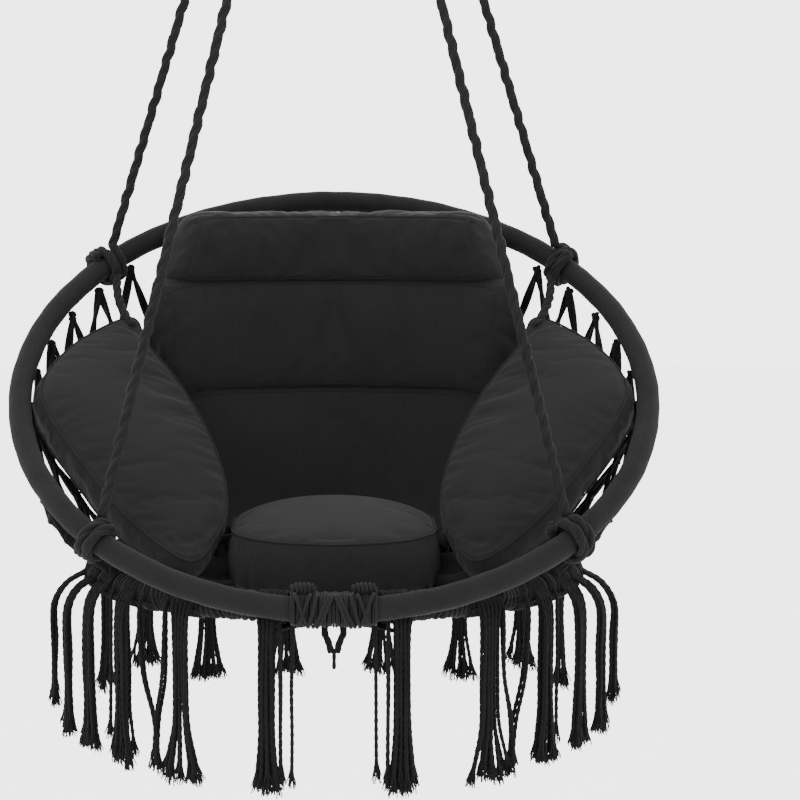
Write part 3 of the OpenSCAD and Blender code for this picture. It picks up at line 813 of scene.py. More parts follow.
net_slack = 0.012
net_parts = []
for row in range(net_rows + 1):
    for i in range(net_columns + 1 - row % 2):
        column = i + row % 2 / 2
        middle = net_knot(column, row)
        a = math.radians(net_from + column * net_step)
        outward = np.array([math.sin(a), -math.cos(a), 0])
        net_parts.append(trefoil(middle, outward, net_knot_r, 1.1 * column + row))
        if row < net_rows:
            for shift in (-0.5, 0.5):
                if 0 <= column + shift <= net_columns:
                    below = net_knot(column + shift, row + 1)
                    net_parts += cord_pair(middle, below, column * 1.3 + shift)
make_piece("back_net_cords", net_parts, fringe_cord, "chair", "cord_cotton", ["back_net"])
print("net tubes:", len(net_parts))

# %% [markdown]
# ## The seat net
# Under the seat cushion, two layers of cords cross inside the lower ring, and each crossing is
# tied. The cords stop short of the front lashings.

# %% Seat net
seat_pitch = 0.064
seat_count = 4
seat_turn = math.radians(32)
seat_reach = lower_ring_r - lower_r - 2 * piece_gap
seat_cord_r = 0.0035
room_half_w = 0.034 + 0.011 / 2 + piece_gap
room_back = lower_middle[1] - lower_ring_r + upper_r + 0.0008 + 0.004 + piece_gap


def seat_line(offset, layer):
    """The two ends of one seat cord, in the layer that is turned one way or the other."""
    half = math.sqrt(seat_reach ** 2 - (abs(offset) + seat_cord_r) ** 2)
    turn = layer * seat_turn
    across = np.array([math.cos(turn), math.sin(turn), 0])
    along = np.array([-math.sin(turn), math.cos(turn), 0])
    height = np.array([0, 0, (layer - 1) * seat_cord_r])
    ends = [lower_middle + across * offset + along * s * half + height for s in (-1, 1)]
    if abs(ends[0][0]) < room_half_w and ends[0][1] < room_back:
        ends[0] = ends[0] + along * (room_back - ends[0][1]) / along[1]
    return ends


seat_parts = []
for layer in (-1, 1):
    for i in range(-seat_count, seat_count + 1):
        a, b = seat_line(i * seat_pitch, layer)
        path = even_path([a, b], 0.012)
        seat_parts += [tube(p, pair_cord_r, 6)
                       for p in strand_paths(path, 3, pair_cord_r, 0.06, i)]
for i in range(-seat_count, seat_count + 1):
    for k in range(-seat_count, seat_count + 1):
        x = (i + k) * seat_pitch / (2 * math.cos(seat_turn))
        y = (i - k) * seat_pitch / (2 * math.sin(seat_turn))
        crossing = lower_middle + np.array([x, y, -seat_cord_r - 0.001])
        if math.hypot(x, y) < seat_reach - 0.02:
            seat_parts.append(trefoil(crossing, np.array([0, 0, -1.0]), 0.0072, i + 2 * k, 0.0022, 0.5))
make_piece("seat_net_cords", seat_parts, fringe_cord, "chair", "cord_cotton", ["seat_net"])
print("seat net tubes:", len(seat_parts))

# %% [markdown]
# ## Half hitches on the lower ring
# The net and the fringe are tied onto the lower ring with thick half hitches, packed side by
# side. They make a lumpy rope-like band that hides the ring. Each is a loop round the ring that
# leans a little, and their sizes change in a slow rhythm. The front is left free for the lashings.

# %% Half hitches
half_hitch_r = 0.0027
half_hitch_pitch = 0.0062
bare_front_angle = 11


def ring_loop(angle, radius, lean, cord_r, sides=6):
    point, outward, upward, forward = ring_axes(lower_point, angle)
    t = np.linspace(0, 2 * math.pi, 21)[:, None]
    loop = (point + radius * (outward * np.cos(t) + upward * np.sin(t))
            + forward * (lean * np.sin(t)))
    return tube(loop, cord_r, sides)


hitch_count = int(math.radians(360 - 2 * bare_front_angle) * lower_ring_r / half_hitch_pitch)
hitch_parts = []
for i in range(hitch_count + 1):
    angle = bare_front_angle + (360 - 2 * bare_front_angle) * i / hitch_count
    swell = 0.0006 * math.sin(i * 1.9) + 0.0009 * max(0, math.sin(i * 0.37)) ** 4
    lean = 0.0035 * math.sin(i * 0.9)
    hitch_parts.append(ring_loop(angle, lower_r + 0.0012 + swell, lean, half_hitch_r))
make_piece("lower_ring_half_hitches", hitch_parts, wound_cord, "chair", "cord_cotton")
print("half hitches:", len(hitch_parts))

# %% [markdown]
# ## Cushion cloth
# The covers are plain woven cotton, dyed charcoal. From a little way off the weave shows only
# as a soft, slightly mottled black, but close up the threads cross at about one a millimetre.
# Two crossed wave textures lift the surface as the threads do, and a broad noise gives the
# faint clouds of a piece-dyed cloth.

# %% Cushion cloth
def woven_cloth(name, dark, light):
    finish = Finish(name, {"Sheen Weight": 0.02, "Sheen Roughness": 0.5, "Specular IOR Level": 0.08})
    clouds = finish.speckle(9, 4)
    slubs = finish.speckle(220, 2, (1, 1, 0.25))
    warp = finish.add("ShaderNodeTexWave", {"wave_type": "BANDS", "bands_direction": "X"},
                      {"Vector": finish.place(), "Scale": 320.0, "Distortion": 0.6}, 1)
    weft = finish.add("ShaderNodeTexWave", {"wave_type": "BANDS", "bands_direction": "Z"},
                      {"Vector": finish.place(), "Scale": 320.0, "Distortion": 0.6}, 1)
    threads = warp * 0.5 + weft * 0.5
    tone = clouds * 0.5 + slubs * 0.3 + threads * 0.2
    finish.give("Base Color", finish.blend(tone, dark, light))
    finish.give("Roughness", 0.8 + slubs * 0.15)
    finish.bump(threads * 0.6 + slubs * 0.4, 0.0005, 0.5)
    return finish.material


cushion_cloth = woven_cloth("charcoal_cushion_cloth", (0.0020, 0.0020, 0.0022, 1),
                            (0.0056, 0.0056, 0.0060, 1))

# %% [markdown]
# ## Stuffing a cushion
# A cushion gets its look from cloth under pressure. The sewn shape is first covered with an
# even mesh. Then the cloth solver blows it up for twenty frames while its seams are held, with a
# little more cloth than the shape needs, so that it puckers along the seams as stuffed covers
# do. No point may move further than a set cap, which keeps each cushion in its own space.

# %% Stuffing
voxel = 0.0055
cushion_pressure = 4.0
spare_cloth = 0.05
seam_hold = 0.0045


def mesh_points(mesh):
    points = np.zeros(len(mesh.vertices) * 3, np.float32)
    mesh.vertices.foreach_get("co", points)
    return points.reshape(-1, 3).astype(float)


def nearest_gap(points, targets):
    """Distance from each point to the nearest target, in lots to save memory."""
    gaps = []
    for lot in np.array_split(points, max(1, len(points) // 400)):
        gaps.append(np.sqrt(((lot[:, None] - targets[None]) ** 2).sum(2)).min(1))
    return np.concatenate(gaps)


def stuffed(name, parts, seams, cap, node):
    """Blows up a sewn shape between its seams and returns the piece."""
    vertices, faces = joined(parts)
    mesh = bpy.data.meshes.new(name)
    mesh.from_pydata(vertices.tolist(), [], faces)
    piece = bpy.data.objects.new(name, mesh)
    bpy.context.scene.collection.objects.link(piece)
    cover = piece.modifiers.new("even_cover", "REMESH")
    cover.mode = "VOXEL"
    cover.voxel_size = voxel
    graph = bpy.context.evaluated_depsgraph_get()
    piece.data = bpy.data.meshes.new_from_object(piece.evaluated_get(graph))
    piece.modifiers.clear()
    start = mesh_points(piece.data)
    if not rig.quick():
        held = piece.vertex_groups.new(name="seams")
        near = np.nonzero(nearest_gap(start, seams) < seam_hold)[0]
        held.add(near.tolist(), 1.0, "REPLACE")
        cloth = piece.modifiers.new("stuffing", "CLOTH")
        cloth.settings.use_pressure = True
        cloth.settings.uniform_pressure_force = cushion_pressure
        cloth.settings.effector_weights.gravity = 0
        cloth.settings.vertex_group_mass = "seams"
        cloth.settings.shrink_min = -spare_cloth
        cloth.settings.tension_stiffness = 12
        cloth.settings.compression_stiffness = 12
        cloth.settings.bending_stiffness = 0.3
        for number in range(1, 21):
            bpy.context.scene.frame_set(number)
        graph = bpy.context.evaluated_depsgraph_get()
        swollen = mesh_points(piece.evaluated_get(graph).data)
        piece.modifiers.clear()
        piece.vertex_groups.clear()
        bpy.context.scene.frame_set(1)
        move = swollen - start
        size = np.linalg.norm(move, axis=1)[:, None]
        start = start + move * (cap / (cap + size)) * np.minimum(1, size / 1e-5)
        piece.data.vertices.foreach_set("co", start.astype(np.float32).ravel())
        print(name, "points:", len(start), "moved up to", round(float(size.max()) * 1000, 1), "mm")
    piece.data.polygons.foreach_set("use_smooth", [True] * len(piece.data.polygons))
    piece.data.materials.clear()
    piece.data.materials.append(cushion_cloth)
    smooth = piece.modifiers.new("smooth_cloth", "SUBSURF")
    smooth.levels = 1
    smooth.render_levels = 1
    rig.ride(piece, "chair")
    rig.slot(piece, "cushion_cloth")
    if node:
        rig.replaces(piece, node)
    return piece


def on_surface(piece, path, proud):
    """The path laid on the cushion, its middle standing a little proud of the cloth."""
    mesh = piece.data
    tree = BVHTree.FromPolygons([v.co for v in mesh.vertices], [list(p.vertices) for p in mesh.polygons])
    laid = []
    for point in path:
        place, normal = tree.find_nearest(Vector(point))[:2]
        laid.append(np.array(place + normal * proud))
    laid = np.array(laid)
    for _ in range(3):
        laid[1:-1] = (laid[:-2] + 2 * laid[1:-1] + laid[2:]) / 4
    return laid


# %% [markdown]
# ## Sewn shapes
# A box cushion is two panels and a band between them, called a gusset. Its shape here is a
# closed skin built from copies of the panel's outline: small ones in the middle of the top
# panel, growing to full size at the seam, down the gusset, and shrinking again underneath.

# %% Box cushion shape
piping_r = 0.0013


def box_cushion(outline, place, thick, crown, under=0.3):
    """Skin of a cushion over a closed outline; place turns (u, v, height) into a point."""
    centre = outline.mean(0)
    rows = []
    for s in np.linspace(0.06, 1, 12):
        rows.append((s, crown * (1 - s ** 2.2)))
    for h in np.linspace(0.2, 1, 6):
        belly = 0.003 * math.sin(math.pi * h)
        rows.append((1 + belly / 0.12, -thick * h))
    for s in np.linspace(0.94, 0.06, 8):
        rows.append((s, -thick - crown * under * (1 - s ** 2)))
    vertices, faces = [], []
    count = len(outline)
    for s, height in rows:
        for point in centre + (outline - centre) * s:
            vertices.append(place(point[0], point[1], height))
    for i in range(len(rows) - 1):
        for k in range(count):
            after = (k + 1) % count
            faces.append([i * count + k, (i + 1) * count + k, (i + 1) * count + after, i * count + after])
    faces.append(list(range(count)))
    faces.append(list(range(len(rows) * count - 1, (len(rows) - 1) * count - 1, -1)))
    return np.array(vertices), faces


def rim_path(outline, place, height):
    closed = np.vstack([outline, outline[:1]])
    return np.array([place(u, v, height) for u, v in closed])


def finish_box_cushion(name, node, outline, place, thick, crown, cap):
    """Stuffs a box cushion and pipes its two seams."""
    top_rim = rim_path(outline, place, 0)
    low_rim = rim_path(outline, place, -thick)
    piece = stuffed(name, [box_cushion(outline, place, thick, crown)],
                    np.vstack([even_path(top_rim, 0.003), even_path(low_rim, 0.003)]), cap, node)
    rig.padded(piece, fill=0.8)
    pipes = []
    for rim in (top_rim, low_rim):
        laid = on_surface(piece, even_path(rim, 0.004), piping_r * 0.5)
        laid[-1] = laid[0]
        pipes.append(tube(laid, piping_r, 8))
    make_piece(name + "_piping", pipes, cushion_cloth, "chair", "cushion_cloth")
    return piece


# %% [markdown]
# ## Side cushions
# The side cushions are leaf shaped. A leaf leans across each side of the chair, its long axis
# running from the back of the ring down to the front, so it gets its own directions: along the
# leaf, across it towards the middle of the chair, and out of its face. The outer edge is fuller
# than the inner one and has its widest place nearer the back.

# %% Side cushions
leaf_length = 0.442
leaf_inner = 0.076
leaf_outer = 0.138
leaf_thick = 0.038
leaf_direction = np.array([0.209, -0.782, -0.588])
leaf_direction = leaf_direction / np.linalg.norm(leaf_direction)
leaf_face = np.array([0.283, -0.526, 0.802])
leaf_face = leaf_face / np.linalg.norm(leaf_face)
leaf_inward = np.cross(leaf_face, leaf_direction)


leaf_corners = [(0.00, 0.03), (0.12, 0.22), (0.31, 0.68), (0.55, 0.98), (0.76, 0.96), (0.90, 0.62),
                (1.00, 0.05), (0.86, -0.42), (0.69, -0.70), (0.47, -0.98), (0.33, -1.00), (0.15, -0.62)]


def leaf_outline():
    """The leaf's edge: shares of its length, and of its inner or outer half width."""
    corners = [(u * leaf_length, v * (leaf_inner if v > 0 else leaf_outer), 0.0)
               for u, v in leaf_corners]
    closed = even_path(corners[-2:] + corners + corners[:2], 0.006)
    gaps = np.linalg.norm(closed - np.array(corners[0]), axis=1)
    half = len(closed) // 2
    return closed[int(np.argmin(gaps[:half])):half + int(np.argmin(gaps[half:])), :2]


for side, side_name in ((-1, "left"), (1, "right")):
    def leaf_place(u, v, height, side=side):
        point = (cushion_tip * [-1, 1, 1] + leaf_direction * (-0.009 + u * 1.01) + leaf_inward * v * 0.97
                 + leaf_face * (height - 0.004))
        return chair_middle + point * [-side, 1, 1]
    finish_box_cushion(f"side_cushion_{side_name}_stuffed", f"side_cushion_{side_name}",
                       leaf_outline(), leaf_place, leaf_thick, 0.019, 0.010)

# %% [markdown]
# ## Seat cushion
# The seat cushion is a thick round box pad that is a little longer than wide. Its top is well
# crowned, and its band goes down behind the front of the ring.

# %% Seat cushion
seat_low, seat_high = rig.box("seat_cushion")
seat_half_w = (seat_high.x - seat_low.x) / 2
seat_straight = (seat_high.y - seat_low.y) / 2 - seat_half_w
seat_thick = 0.066
seat_crown = 0.026


def seat_outline():
    turn = np.linspace(0, 2 * math.pi, 72, endpoint=False)
    x = seat_half_w * np.cos(turn)
    y = seat_half_w * np.sin(turn)
    return np.column_stack([x * 0.975, (y + np.sign(np.round(y, 6)) * seat_straight) * 0.985])


def seat_place(u, v, height):
    middle = (seat_low + seat_high) / 2
    return np.array([middle.x + u, middle.y + v, seat_low.z + 0.0595 + height])


finish_box_cushion("seat_cushion_stuffed", "seat_cushion", seat_outline(), seat_place, seat_thick,
                   seat_crown, 0.006)

# %% [markdown]
# ## Back cushion
# The back cushion is one long cover sewn across into three stuffed channels, bent round the
# back of the chair. Each channel is a fat roll with blunt ends. The top one is narrower at its
# upper edge, where its corners stand up. The sewn lines between the rolls stay as deep creases.

# %% Back cushion
bend_r = lower_ring_r + 0.040
bend_y = lower_middle[1] - 0.107
back_low, back_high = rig.box("back_cushion")
channel_overlap = 0.021
channel_thick = 0.070
top_height = 0.100
middle_height = 0.160
bottom_height = (back_high.z - back_low.z) - top_height - middle_height + 2 * channel_overlap
channels = [
    ("top", back_high.z + 0.004 - top_height / 2, top_height, 77, 0.20),
    ("middle", back_high.z - top_height + channel_overlap - middle_height / 2, middle_height, 88, -0.02),
    ("bottom", back_low.z + bottom_height / 2, bottom_height, 80, 0.0),
]


def roll_point(u, v, middle_z, height, span, narrow, proud=1.0):
    """A point on a channel's skin: u runs along the bend and v round the roll."""
    blunt = max(0.0, 1 - abs(u) ** 12) ** 0.25
    c, s = math.cos(v), math.sin(v)
    across = math.copysign(abs(c) ** 0.72, c) * channel_thick / 2 * blunt * proud
    up = math.copysign(abs(s) ** 0.62, s) * height / 2 * (0.55 + 0.45 * blunt)
    turn = math.radians(span / 2) * u * (1 - narrow * up / height) * 0.985
    r = bend_r + across
    return [chair_middle[0] + r * math.sin(turn), bend_y + r * math.cos(turn), middle_z + up]


def roll_skin(middle_z, height, span, narrow):
    along = np.sin(np.linspace(-math.pi / 2, math.pi / 2, 61))
    around = np.linspace(0, 2 * math.pi, 44, endpoint=False)
    count = len(around)
    vertices = [roll_point(u, v, middle_z, height, span, narrow) for u in along for v in around]
    faces = []
    for i in range(len(along) - 1):
        for k in range(count):
            after = (k + 1) % count
            faces.append([i * count + k, i * count + after, (i + 1) * count + after, (i + 1) * count + k])
    faces.append(list(range(count - 1, -1, -1)))
    faces.append(list(range((len(along) - 1) * count, len(along) * count)))
    return np.array(vertices), faces


for place_name, middle_z, height, span, narrow in channels:
    height = height - 0.006
    seam_lines = []
    for v in (math.radians(128), math.radians(232)):
        seam_lines.append([roll_point(u, v, middle_z, height, span, narrow)
                           for u in np.linspace(-0.99, 0.99, 120)])
    for u in (-0.965, 0.965):
        seam_lines.append([roll_point(u, v, middle_z, height, span, narrow)
                           for v in np.radians(np.linspace(128, 232, 40))])
    node = "back_cushion" if place_name == "middle" else None
    piece = stuffed(f"back_channel_{place_name}", [roll_skin(middle_z, height, span, narrow)],
                    np.vstack(seam_lines), 0.012, node)
    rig.padded(piece, fill=0.85)
    pipes = []
    for line in seam_lines:
        laid = on_surface(piece, even_path(line, 0.004), 0.0002)
        pipes.append(tube(laid, piping_r * 0.7, 6))
    make_piece(f"back_seams_{place_name}", pipes, cushion_cloth, "chair", "cushion_cloth")

# %% [markdown]
# ## Cushion ties
# Cloth tapes tie the seat cushion to the side cushions. Each tape comes out of the seat
# cushion's seam, is pulled into a knot and leaves two short tails. A tape is a flat tube whose
# cross-section is much wider than thick, and it twists as it falls.

# %% Cushion ties
def tape(points, width, thick, first_turn, last_turn):
    """A flat tape along a path, turned about its own line from one angle to another."""
    path = even_path(points, 0.003)
    across, up = path_frames(path)
    t = np.linspace(0, 1, len(path))
    turn = (first_turn + (last_turn - first_turn) * t)[:, None]
    wide = across * np.cos(turn) + up * np.sin(turn)
    flat = up * np.cos(turn) - across * np.sin(turn)
    corners = []
    for k in range(10):
        a = 2 * math.pi * k / 10
        fold = 0.25 * math.cos(2 * a)
        corners.append(path + wide * (width / 2 * math.cos(a)) + flat * (thick / 2 * math.sin(a)
                                                                       + thick * fold))
    vertices = np.stack(corners, 1).reshape(-1, 3)
    faces = []
    for i in range(len(path) - 1):
        for k in range(10):
            after = (k + 1) % 10
            faces.append([i * 10 + k, i * 10 + after, i * 10 + 10 + after, i * 10 + 10 + k])
    faces.append(list(range(9, -1, -1)))
    faces.append(list(range(len(vertices) - 10, len(vertices))))
    return vertices, faces


def gathered_web(near_top, near_low, far_top, far_low, folds, depth, start):
    """A strip of cloth with soft folds that run from the seat cushion to the side cushion."""
    rows, columns = 26, 34
    sheets = [[], []]
    normal = np.cross(far_top - near_top, near_low - near_top)
    normal = normal / np.linalg.norm(normal)
    for i in range(rows):
        s = i / (rows - 1)
        for k in range(columns):
            t = k / (columns - 1)
            a = near_top + (near_low - near_top) * t
            b = far_top + (far_low - far_top) * t
            fold = math.sin(2 * math.pi * folds * t + start + 0.8 * s)
            ruck = 0.35 * math.sin(2 * math.pi * (folds * 1.7 * t + 0.5 * s) + start)
            sag = 0.010 * math.sin(math.pi * s)
            middle = a + (b - a) * s + normal * depth * (fold + ruck) - np.array([0, 0, sag * t])
            for sheet, offset in zip(sheets, (-0.0011, 0.0011)):
                sheet.append(middle + normal * offset)
    vertices = np.array(sheets[0] + sheets[1])
    total = rows * columns
    faces = []
    for i in range(rows - 1):
        for k in range(columns - 1):
            corner = i * columns + k
            face = [corner, corner + 1, corner + columns + 1, corner + columns]
            faces.append(face)
            faces.append([v + total for v in reversed(face)])
    edge = ([k for k in range(columns)] + [i * columns + columns - 1 for i in range(1, rows)]
            + [(rows - 1) * columns + k for k in range(columns - 2, -1, -1)]
            + [i * columns for i in range(rows - 2, 0, -1)])
    for a, b in zip(edge, edge[1:] + edge[:1]):
        faces.append([b, a, a + total, b + total])
    return vertices, faces


for side, side_name in ((-1, "left"), (1, "right")):
    low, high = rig.box(f"cushion_tie_{side_name}")
    flip = np.array([side, 1, 1])
    near_x = min(abs(low.x), abs(high.x))
    far_x = max(abs(low.x), abs(high.x))
    top = high.z
    knot = np.array([far_x - 0.004, low.y - 0.012, top - 0.004])
    web = gathered_web(np.array([near_x - 0.012, low.y + 0.030, top + 0.004]),
                       np.array([near_x - 0.016, low.y - 0.040, top - 0.056]),
                       np.array([far_x + 0.022, low.y - 0.020, top + 0.022]),
                       np.array([far_x + 0.026, low.y - 0.086, top - 0.042]), 3.2, 0.0045, side)
    folds = (web[0] * flip, [face[::side] for face in web[1]])
    tapes = [
        tape([knot * flip, (knot + [-0.008, -0.008, -0.014]) * flip,
              (knot + [-0.012, -0.010, -0.040]) * flip], 0.016, 0.0028, 1.3, 0.5),
        tape([knot * flip, (knot + [0.006, -0.009, -0.012]) * flip,
              (knot + [0.010, -0.012, -0.034]) * flip], 0.015, 0.0028, 0.3, 1.1),
        tape([(knot + [-0.030, 0.002, 0.010]) * flip, (knot + [-0.014, -0.006, 0.004]) * flip, knot * flip],
             0.020, 0.0036, 0.2, 1.2),
        tape([(knot + [0.024, 0.004, 0.018]) * flip, (knot + [0.010, -0.006, 0.008]) * flip, knot * flip],
             0.020, 0.0036, 0.4, -0.9),
        trefoil(knot * flip, np.array([0, -1.0, 0]), 0.0135, 0.6 * side, 0.0056),
    ]
    make_piece(f"cushion_tie_{side_name}_web", [folds] + tapes, cushion_cloth, "chair", "cushion_cloth",
               [f"cushion_tie_{side_name}"])

# %% [markdown]
# ## The fringe
# The fringe hangs from lark's head knots on the lower ring. Its cords come out sideways over
# the ring's outer face, bend down within a few centimetres and then hang in thick tassels, two
# or three cords deep. At its end each cord is unlaid into soft yarns that spread like a brush.
# Some of the front and side cords are declared as free cords of their real length.

# %% Tassels
fringe_random = random.Random(7)
strand_r = strand_d / 2
fringe_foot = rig.box("fringe_front")[0][2]
fray_length = 0.026
fray_spread = 0.0058
yarn_count = 15
yarn_r = 0.0008
column_gap = 0.0044
layer_gap = 0.0042

# Angle on the lower ring, how far out the cords stand, columns, layers, height of the ends above
# the lowest ones, and how far the ends of the tassel open
tassels = [
    (8.6, 0.000, 1, 1, 0.000, 0.0),
    (11.2, 0.001, 1, 2, 0.002, 0.0),
    (14.0, 0.000, 4, 3, -0.005, 0.004),
    (34.0, 0.004, 5, 2, -0.004, 0.012),
    (37.6, 0.005, 1, 2, 0.004, 0.0),
    (45.0, 0.005, 1, 2, 0.004, 0.0),
    (50.5, 0.006, 4, 3, 0.004, 0.007),
    (56.0, 0.006, 1, 1, 0.026, 0.0),
    (62.0, 0.018, 5, 2, 0.012, 0.006),
    (70.0, 0.029, 4, 2, 0.018, 0.008),
    (79.0, 0.036, 3, 2, 0.045, 0.006),
    (112.0, 0.008, 3, 2, 0.022, 0.006),
    (128.0, 0.006, 5, 2, 0.034, 0.009),
    (147.0, 0.004, 5, 2, 0.004, 0.009),
    (168.0, 0.004, 5, 2, 0.000, 0.008),
]
crossings = {37.6: 0.015, 45.0: -0.030}


def strand_path(angle, out, shift, spread, foot, meet):
    """From the top of the ring, over its outer face, and down to the foot."""
    point, outward, upward, forward = ring_axes(lower_point, angle)
    sway = [fringe_random.uniform(-1, 1) for _ in range(4)]
    cover = lower_r + 0.0045
    side = forward * shift
    drift = forward * (0.0016 * sway[0] + spread + meet) + outward * 0.002 * sway[1]
    top = point + side * 1.5 + outward * (cover * 0.93) + upward * 0.004
    bend = point + side * 1.3 + outward * (cover + out * 0.55 + 0.002) - upward * (0.006 + 0.1 * out)
    fall = point + side + outward * (cover + out) - upward * (0.028 + 0.2 * out)
    end = np.array([fall[0], fall[1], foot]) + drift
    low = fall + (end - fall) * 0.72 - forward * (spread * 0.6 - meet * 0.06)
    middle = fall + (end - fall) * 0.4 - forward * spread * 0.4
    middle = middle + forward * 0.0012 * sway[2] + outward * 0.0015 * sway[3]
    if meet:
        middle = middle - forward * meet * 0.18
    return even_path([top, bend, fall, middle, low, end], 0.005)


def laid_strand(path, start):
    """A soft cord of two plies, which shows as a faint twist."""
    return [tube(p, strand_r * 0.95, 7) for p in strand_paths(path, 2, strand_r * 0.33, 0.019, start)]


def frayed_end(path, start):
    """Yarns that leave the end of a cord, spread out and curl."""
    end = path[-1]
    down = path[-1] - path[-3]
    down = down / np.linalg.norm(down)
    side = np.cross(down, [0, 1, 0])
    side = side / np.linalg.norm(side)
    ahead = np.cross(side, down)
    parts = []
    for k in range(yarn_count):
        turn = start + 2.4 * k
        reach = fray_spread * math.sqrt((k + 0.5) / yarn_count) * fringe_random.uniform(0.7, 1.15)
        length = fray_length * fringe_random.uniform(0.62, 1.0)
        out = side * math.cos(turn) + ahead * math.sin(turn)
        t = np.linspace(0, 1, 8)[:, None]
        curl = fringe_random.uniform(-0.002, 0.002)
        wave = fringe_random.uniform(3, 8)
        yarn = (end - down * 0.003 + out * (strand_r * 0.5 + reach * t ** 1.25)
                + down * length * t + np.cross(out, down) * curl * np.sin(t * wave))
        parts.append(tube(yarn, yarn_r * (1.2 - 0.5 * t[:, 0]), 4))
    return parts


def larks_head(angle, shift, cord_r):
    """Two turns round the ring and the bight that holds them, in front of it."""
    point, outward, upward, forward = ring_axes(lower_point, angle)
    parts = []
    reach = lower_r + 0.0035
    for s in (-1, 1):
        t = np.linspace(-0.5, 1.75, 18)[:, None] * math.pi
        loop = (point + forward * (shift + s * cord_r * 1.1) + reach * (outward * np.cos(t)
                                                                      + upward * np.sin(t)))
        parts.append(tube(loop, cord_r, 7))
    t = np.linspace(-1, 1, 9)[:, None]
    bight = (point + forward * (shift + t * cord_r * 2.3)
             + (reach + 0.0028) * outward * 0.86 - upward * (0.0085 - 0.003 * (1 - t ** 2)))
    parts.append(tube(bight, cord_r * 0.95, 7))
    return parts


# %% [markdown]
# ## Making the tassels
# The cords are made in one pass. The first ones of each front and side tassel are kept as pieces
# of their own, each with its brush of yarns, until the number of declared cords is used up. The
# others are joined by tassel group.

# %% Make the fringe
declared_left = 34
head_parts = []
group_parts = {"front": [], "left": [], "right": [], "back": []}
lengths = []


def group_of(angle):
    if 100 < angle < 260:
        return "back"
    if angle < 45 or angle > 315:
        return "front"
    return "right" if angle < 180 else "left"


number = 0
for around, out, columns, layers, lift, opening in tassels:
    for side in (-1, 1):
        angle = side * around % 360
        group = group_of(angle)
        for k in range(-(-columns // 2) + (columns > 1)):
            shift = (k - (-(-columns // 2) + (columns > 1) - 1) / 2) * column_gap * 2
            head_parts += larks_head(angle, shift, strand_r * 1.15)
        for k in range(columns * layers):
            column = k % columns - (columns - 1) / 2
            layer = k // columns
            spread = opening * 2 * column / max(1, columns - 1)
            column = column + 0.5 * (layer % 2) * (columns > 1)
            foot = fringe_foot + fray_length + lift + fringe_random.uniform(0, 0.014)
            path = strand_path(angle, out + layer * layer_gap, column * column_gap, spread, foot,
                               side * crossings.get(around, 0))
            start = fringe_random.uniform(0, 6)
            lengths.append(path_length(path))
            cord_parts = laid_strand(path, start)
            yarn_parts = frayed_end(path, start)
            number += 1
            if declared_left > 0 and group != "back" and k < 2:
                declared_left -= 1
                yarns = make_piece(f"fringe_yarns_{number:03d}", yarn_parts, fringe_cord, "chair",
                                   "fringe_cotton")
                strand = make_piece(f"fringe_cord_{number:03d}", cord_parts, fringe_cord, "chair",
                                    "fringe_cotton")
                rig.cord(strand, exit=path[0], length=path_length(path), diameter=strand_d,
                        far_end="bare", stiffness="limp", lay="hanging",
                        path=path[::2].tolist() + [path[-1].tolist()], with_pieces=[yarns])
            else:
                group_parts[group] += cord_parts + yarn_parts

# %% [markdown]
# ## The doubled cord at the front
# One doubled cord hangs from the middle of the front lashing. Its two legs come together after
# a few centimetres and go on as one short tail.

# %% Doubled cord
front_point, front_out, front_up, front_along = ring_axes(lower_point, 0)
parting = front_point + front_out * (lower_r + 0.002) - front_up * 0.004
joining = parting - front_up * 0.044
for side in (-1, 1):
    leg = even_path([parting + front_along * side * 0.0085, parting + front_along * side * 0.0085
                     - front_up * 0.022, joining + front_along * side * 0.005 + front_up * 0.014,
                     joining + front_along * side * 0.0012], 0.004)
    group_parts["front"] += laid_strand(leg, side) + laid_strand(leg + front_along * side * 0.0035, 2)
tail_end = even_path([joining + front_up * 0.004, joining - front_up * 0.018], 0.004)
group_parts["front"] += laid_strand(tail_end, 0.5)

# %% [markdown]
# ## Swags beside the lashing
# A few cords leave the underside of the lashing on each side and sweep along the lower ring to
# the first thick tassel, which rounds off the corner between them.

# %% Swags
for side in (-1, 1):
    for k in range(5):
        turn = math.radians(250 + 14 * k)
        stations = []
        for angle, reach in ((6.0 + 0.5 * k, 0.006), (8.5, 0.0075), (11.0, 0.010), (13.0, 0.014)):
            point, outward, upward, forward = ring_axes(lower_point, side * angle)
            stations.append(point + (lower_r + reach) * (-outward * math.cos(turn) * 0.9
                                                         + upward * math.sin(turn)))
        group_parts["front"] += laid_strand(even_path(stations, 0.005), k)

for group, parts in group_parts.items():
    make_piece(f"fringe_{group}_cords", parts, fringe_cord, "chair", "fringe_cotton",
               [f"fringe_{group}"])
make_piece("fringe_larks_heads", head_parts, fringe_cord, "chair", "cord_cotton", ["fringe_knots"])
print("fringe cords:", number, "from", round(min(lengths), 3), "to", round(max(lengths), 3), "m")

# %% [markdown]
# ## Metal finishes
# The ceiling kit is polished stainless steel. Polishing leaves very fine lines and a few soft
# smears of handling, which change the gloss and not the colour. The anchors, washers and nuts
# are zinc plated: duller, with a faint crystal cloud. The ring tubes are painted black, which
# shows only inside the drain holes.

# %% Metals
def polished_steel_finish():
    finish = Finish("polished_stainless_steel", {"Metallic": 1.0})
    lines = finish.speckle(180, 3, (1, 1, 14))
    smears = finish.speckle(26, 3)
    finish.give("Base Color", finish.blend(smears, (0.30, 0.30, 0.31, 1), (0.41, 0.41, 0.42, 1)))
    finish.give("Roughness", 0.07 + lines * 0.06 + smears * 0.10)
    finish.bump(lines, 0.00008, 0.25)
    return finish.material


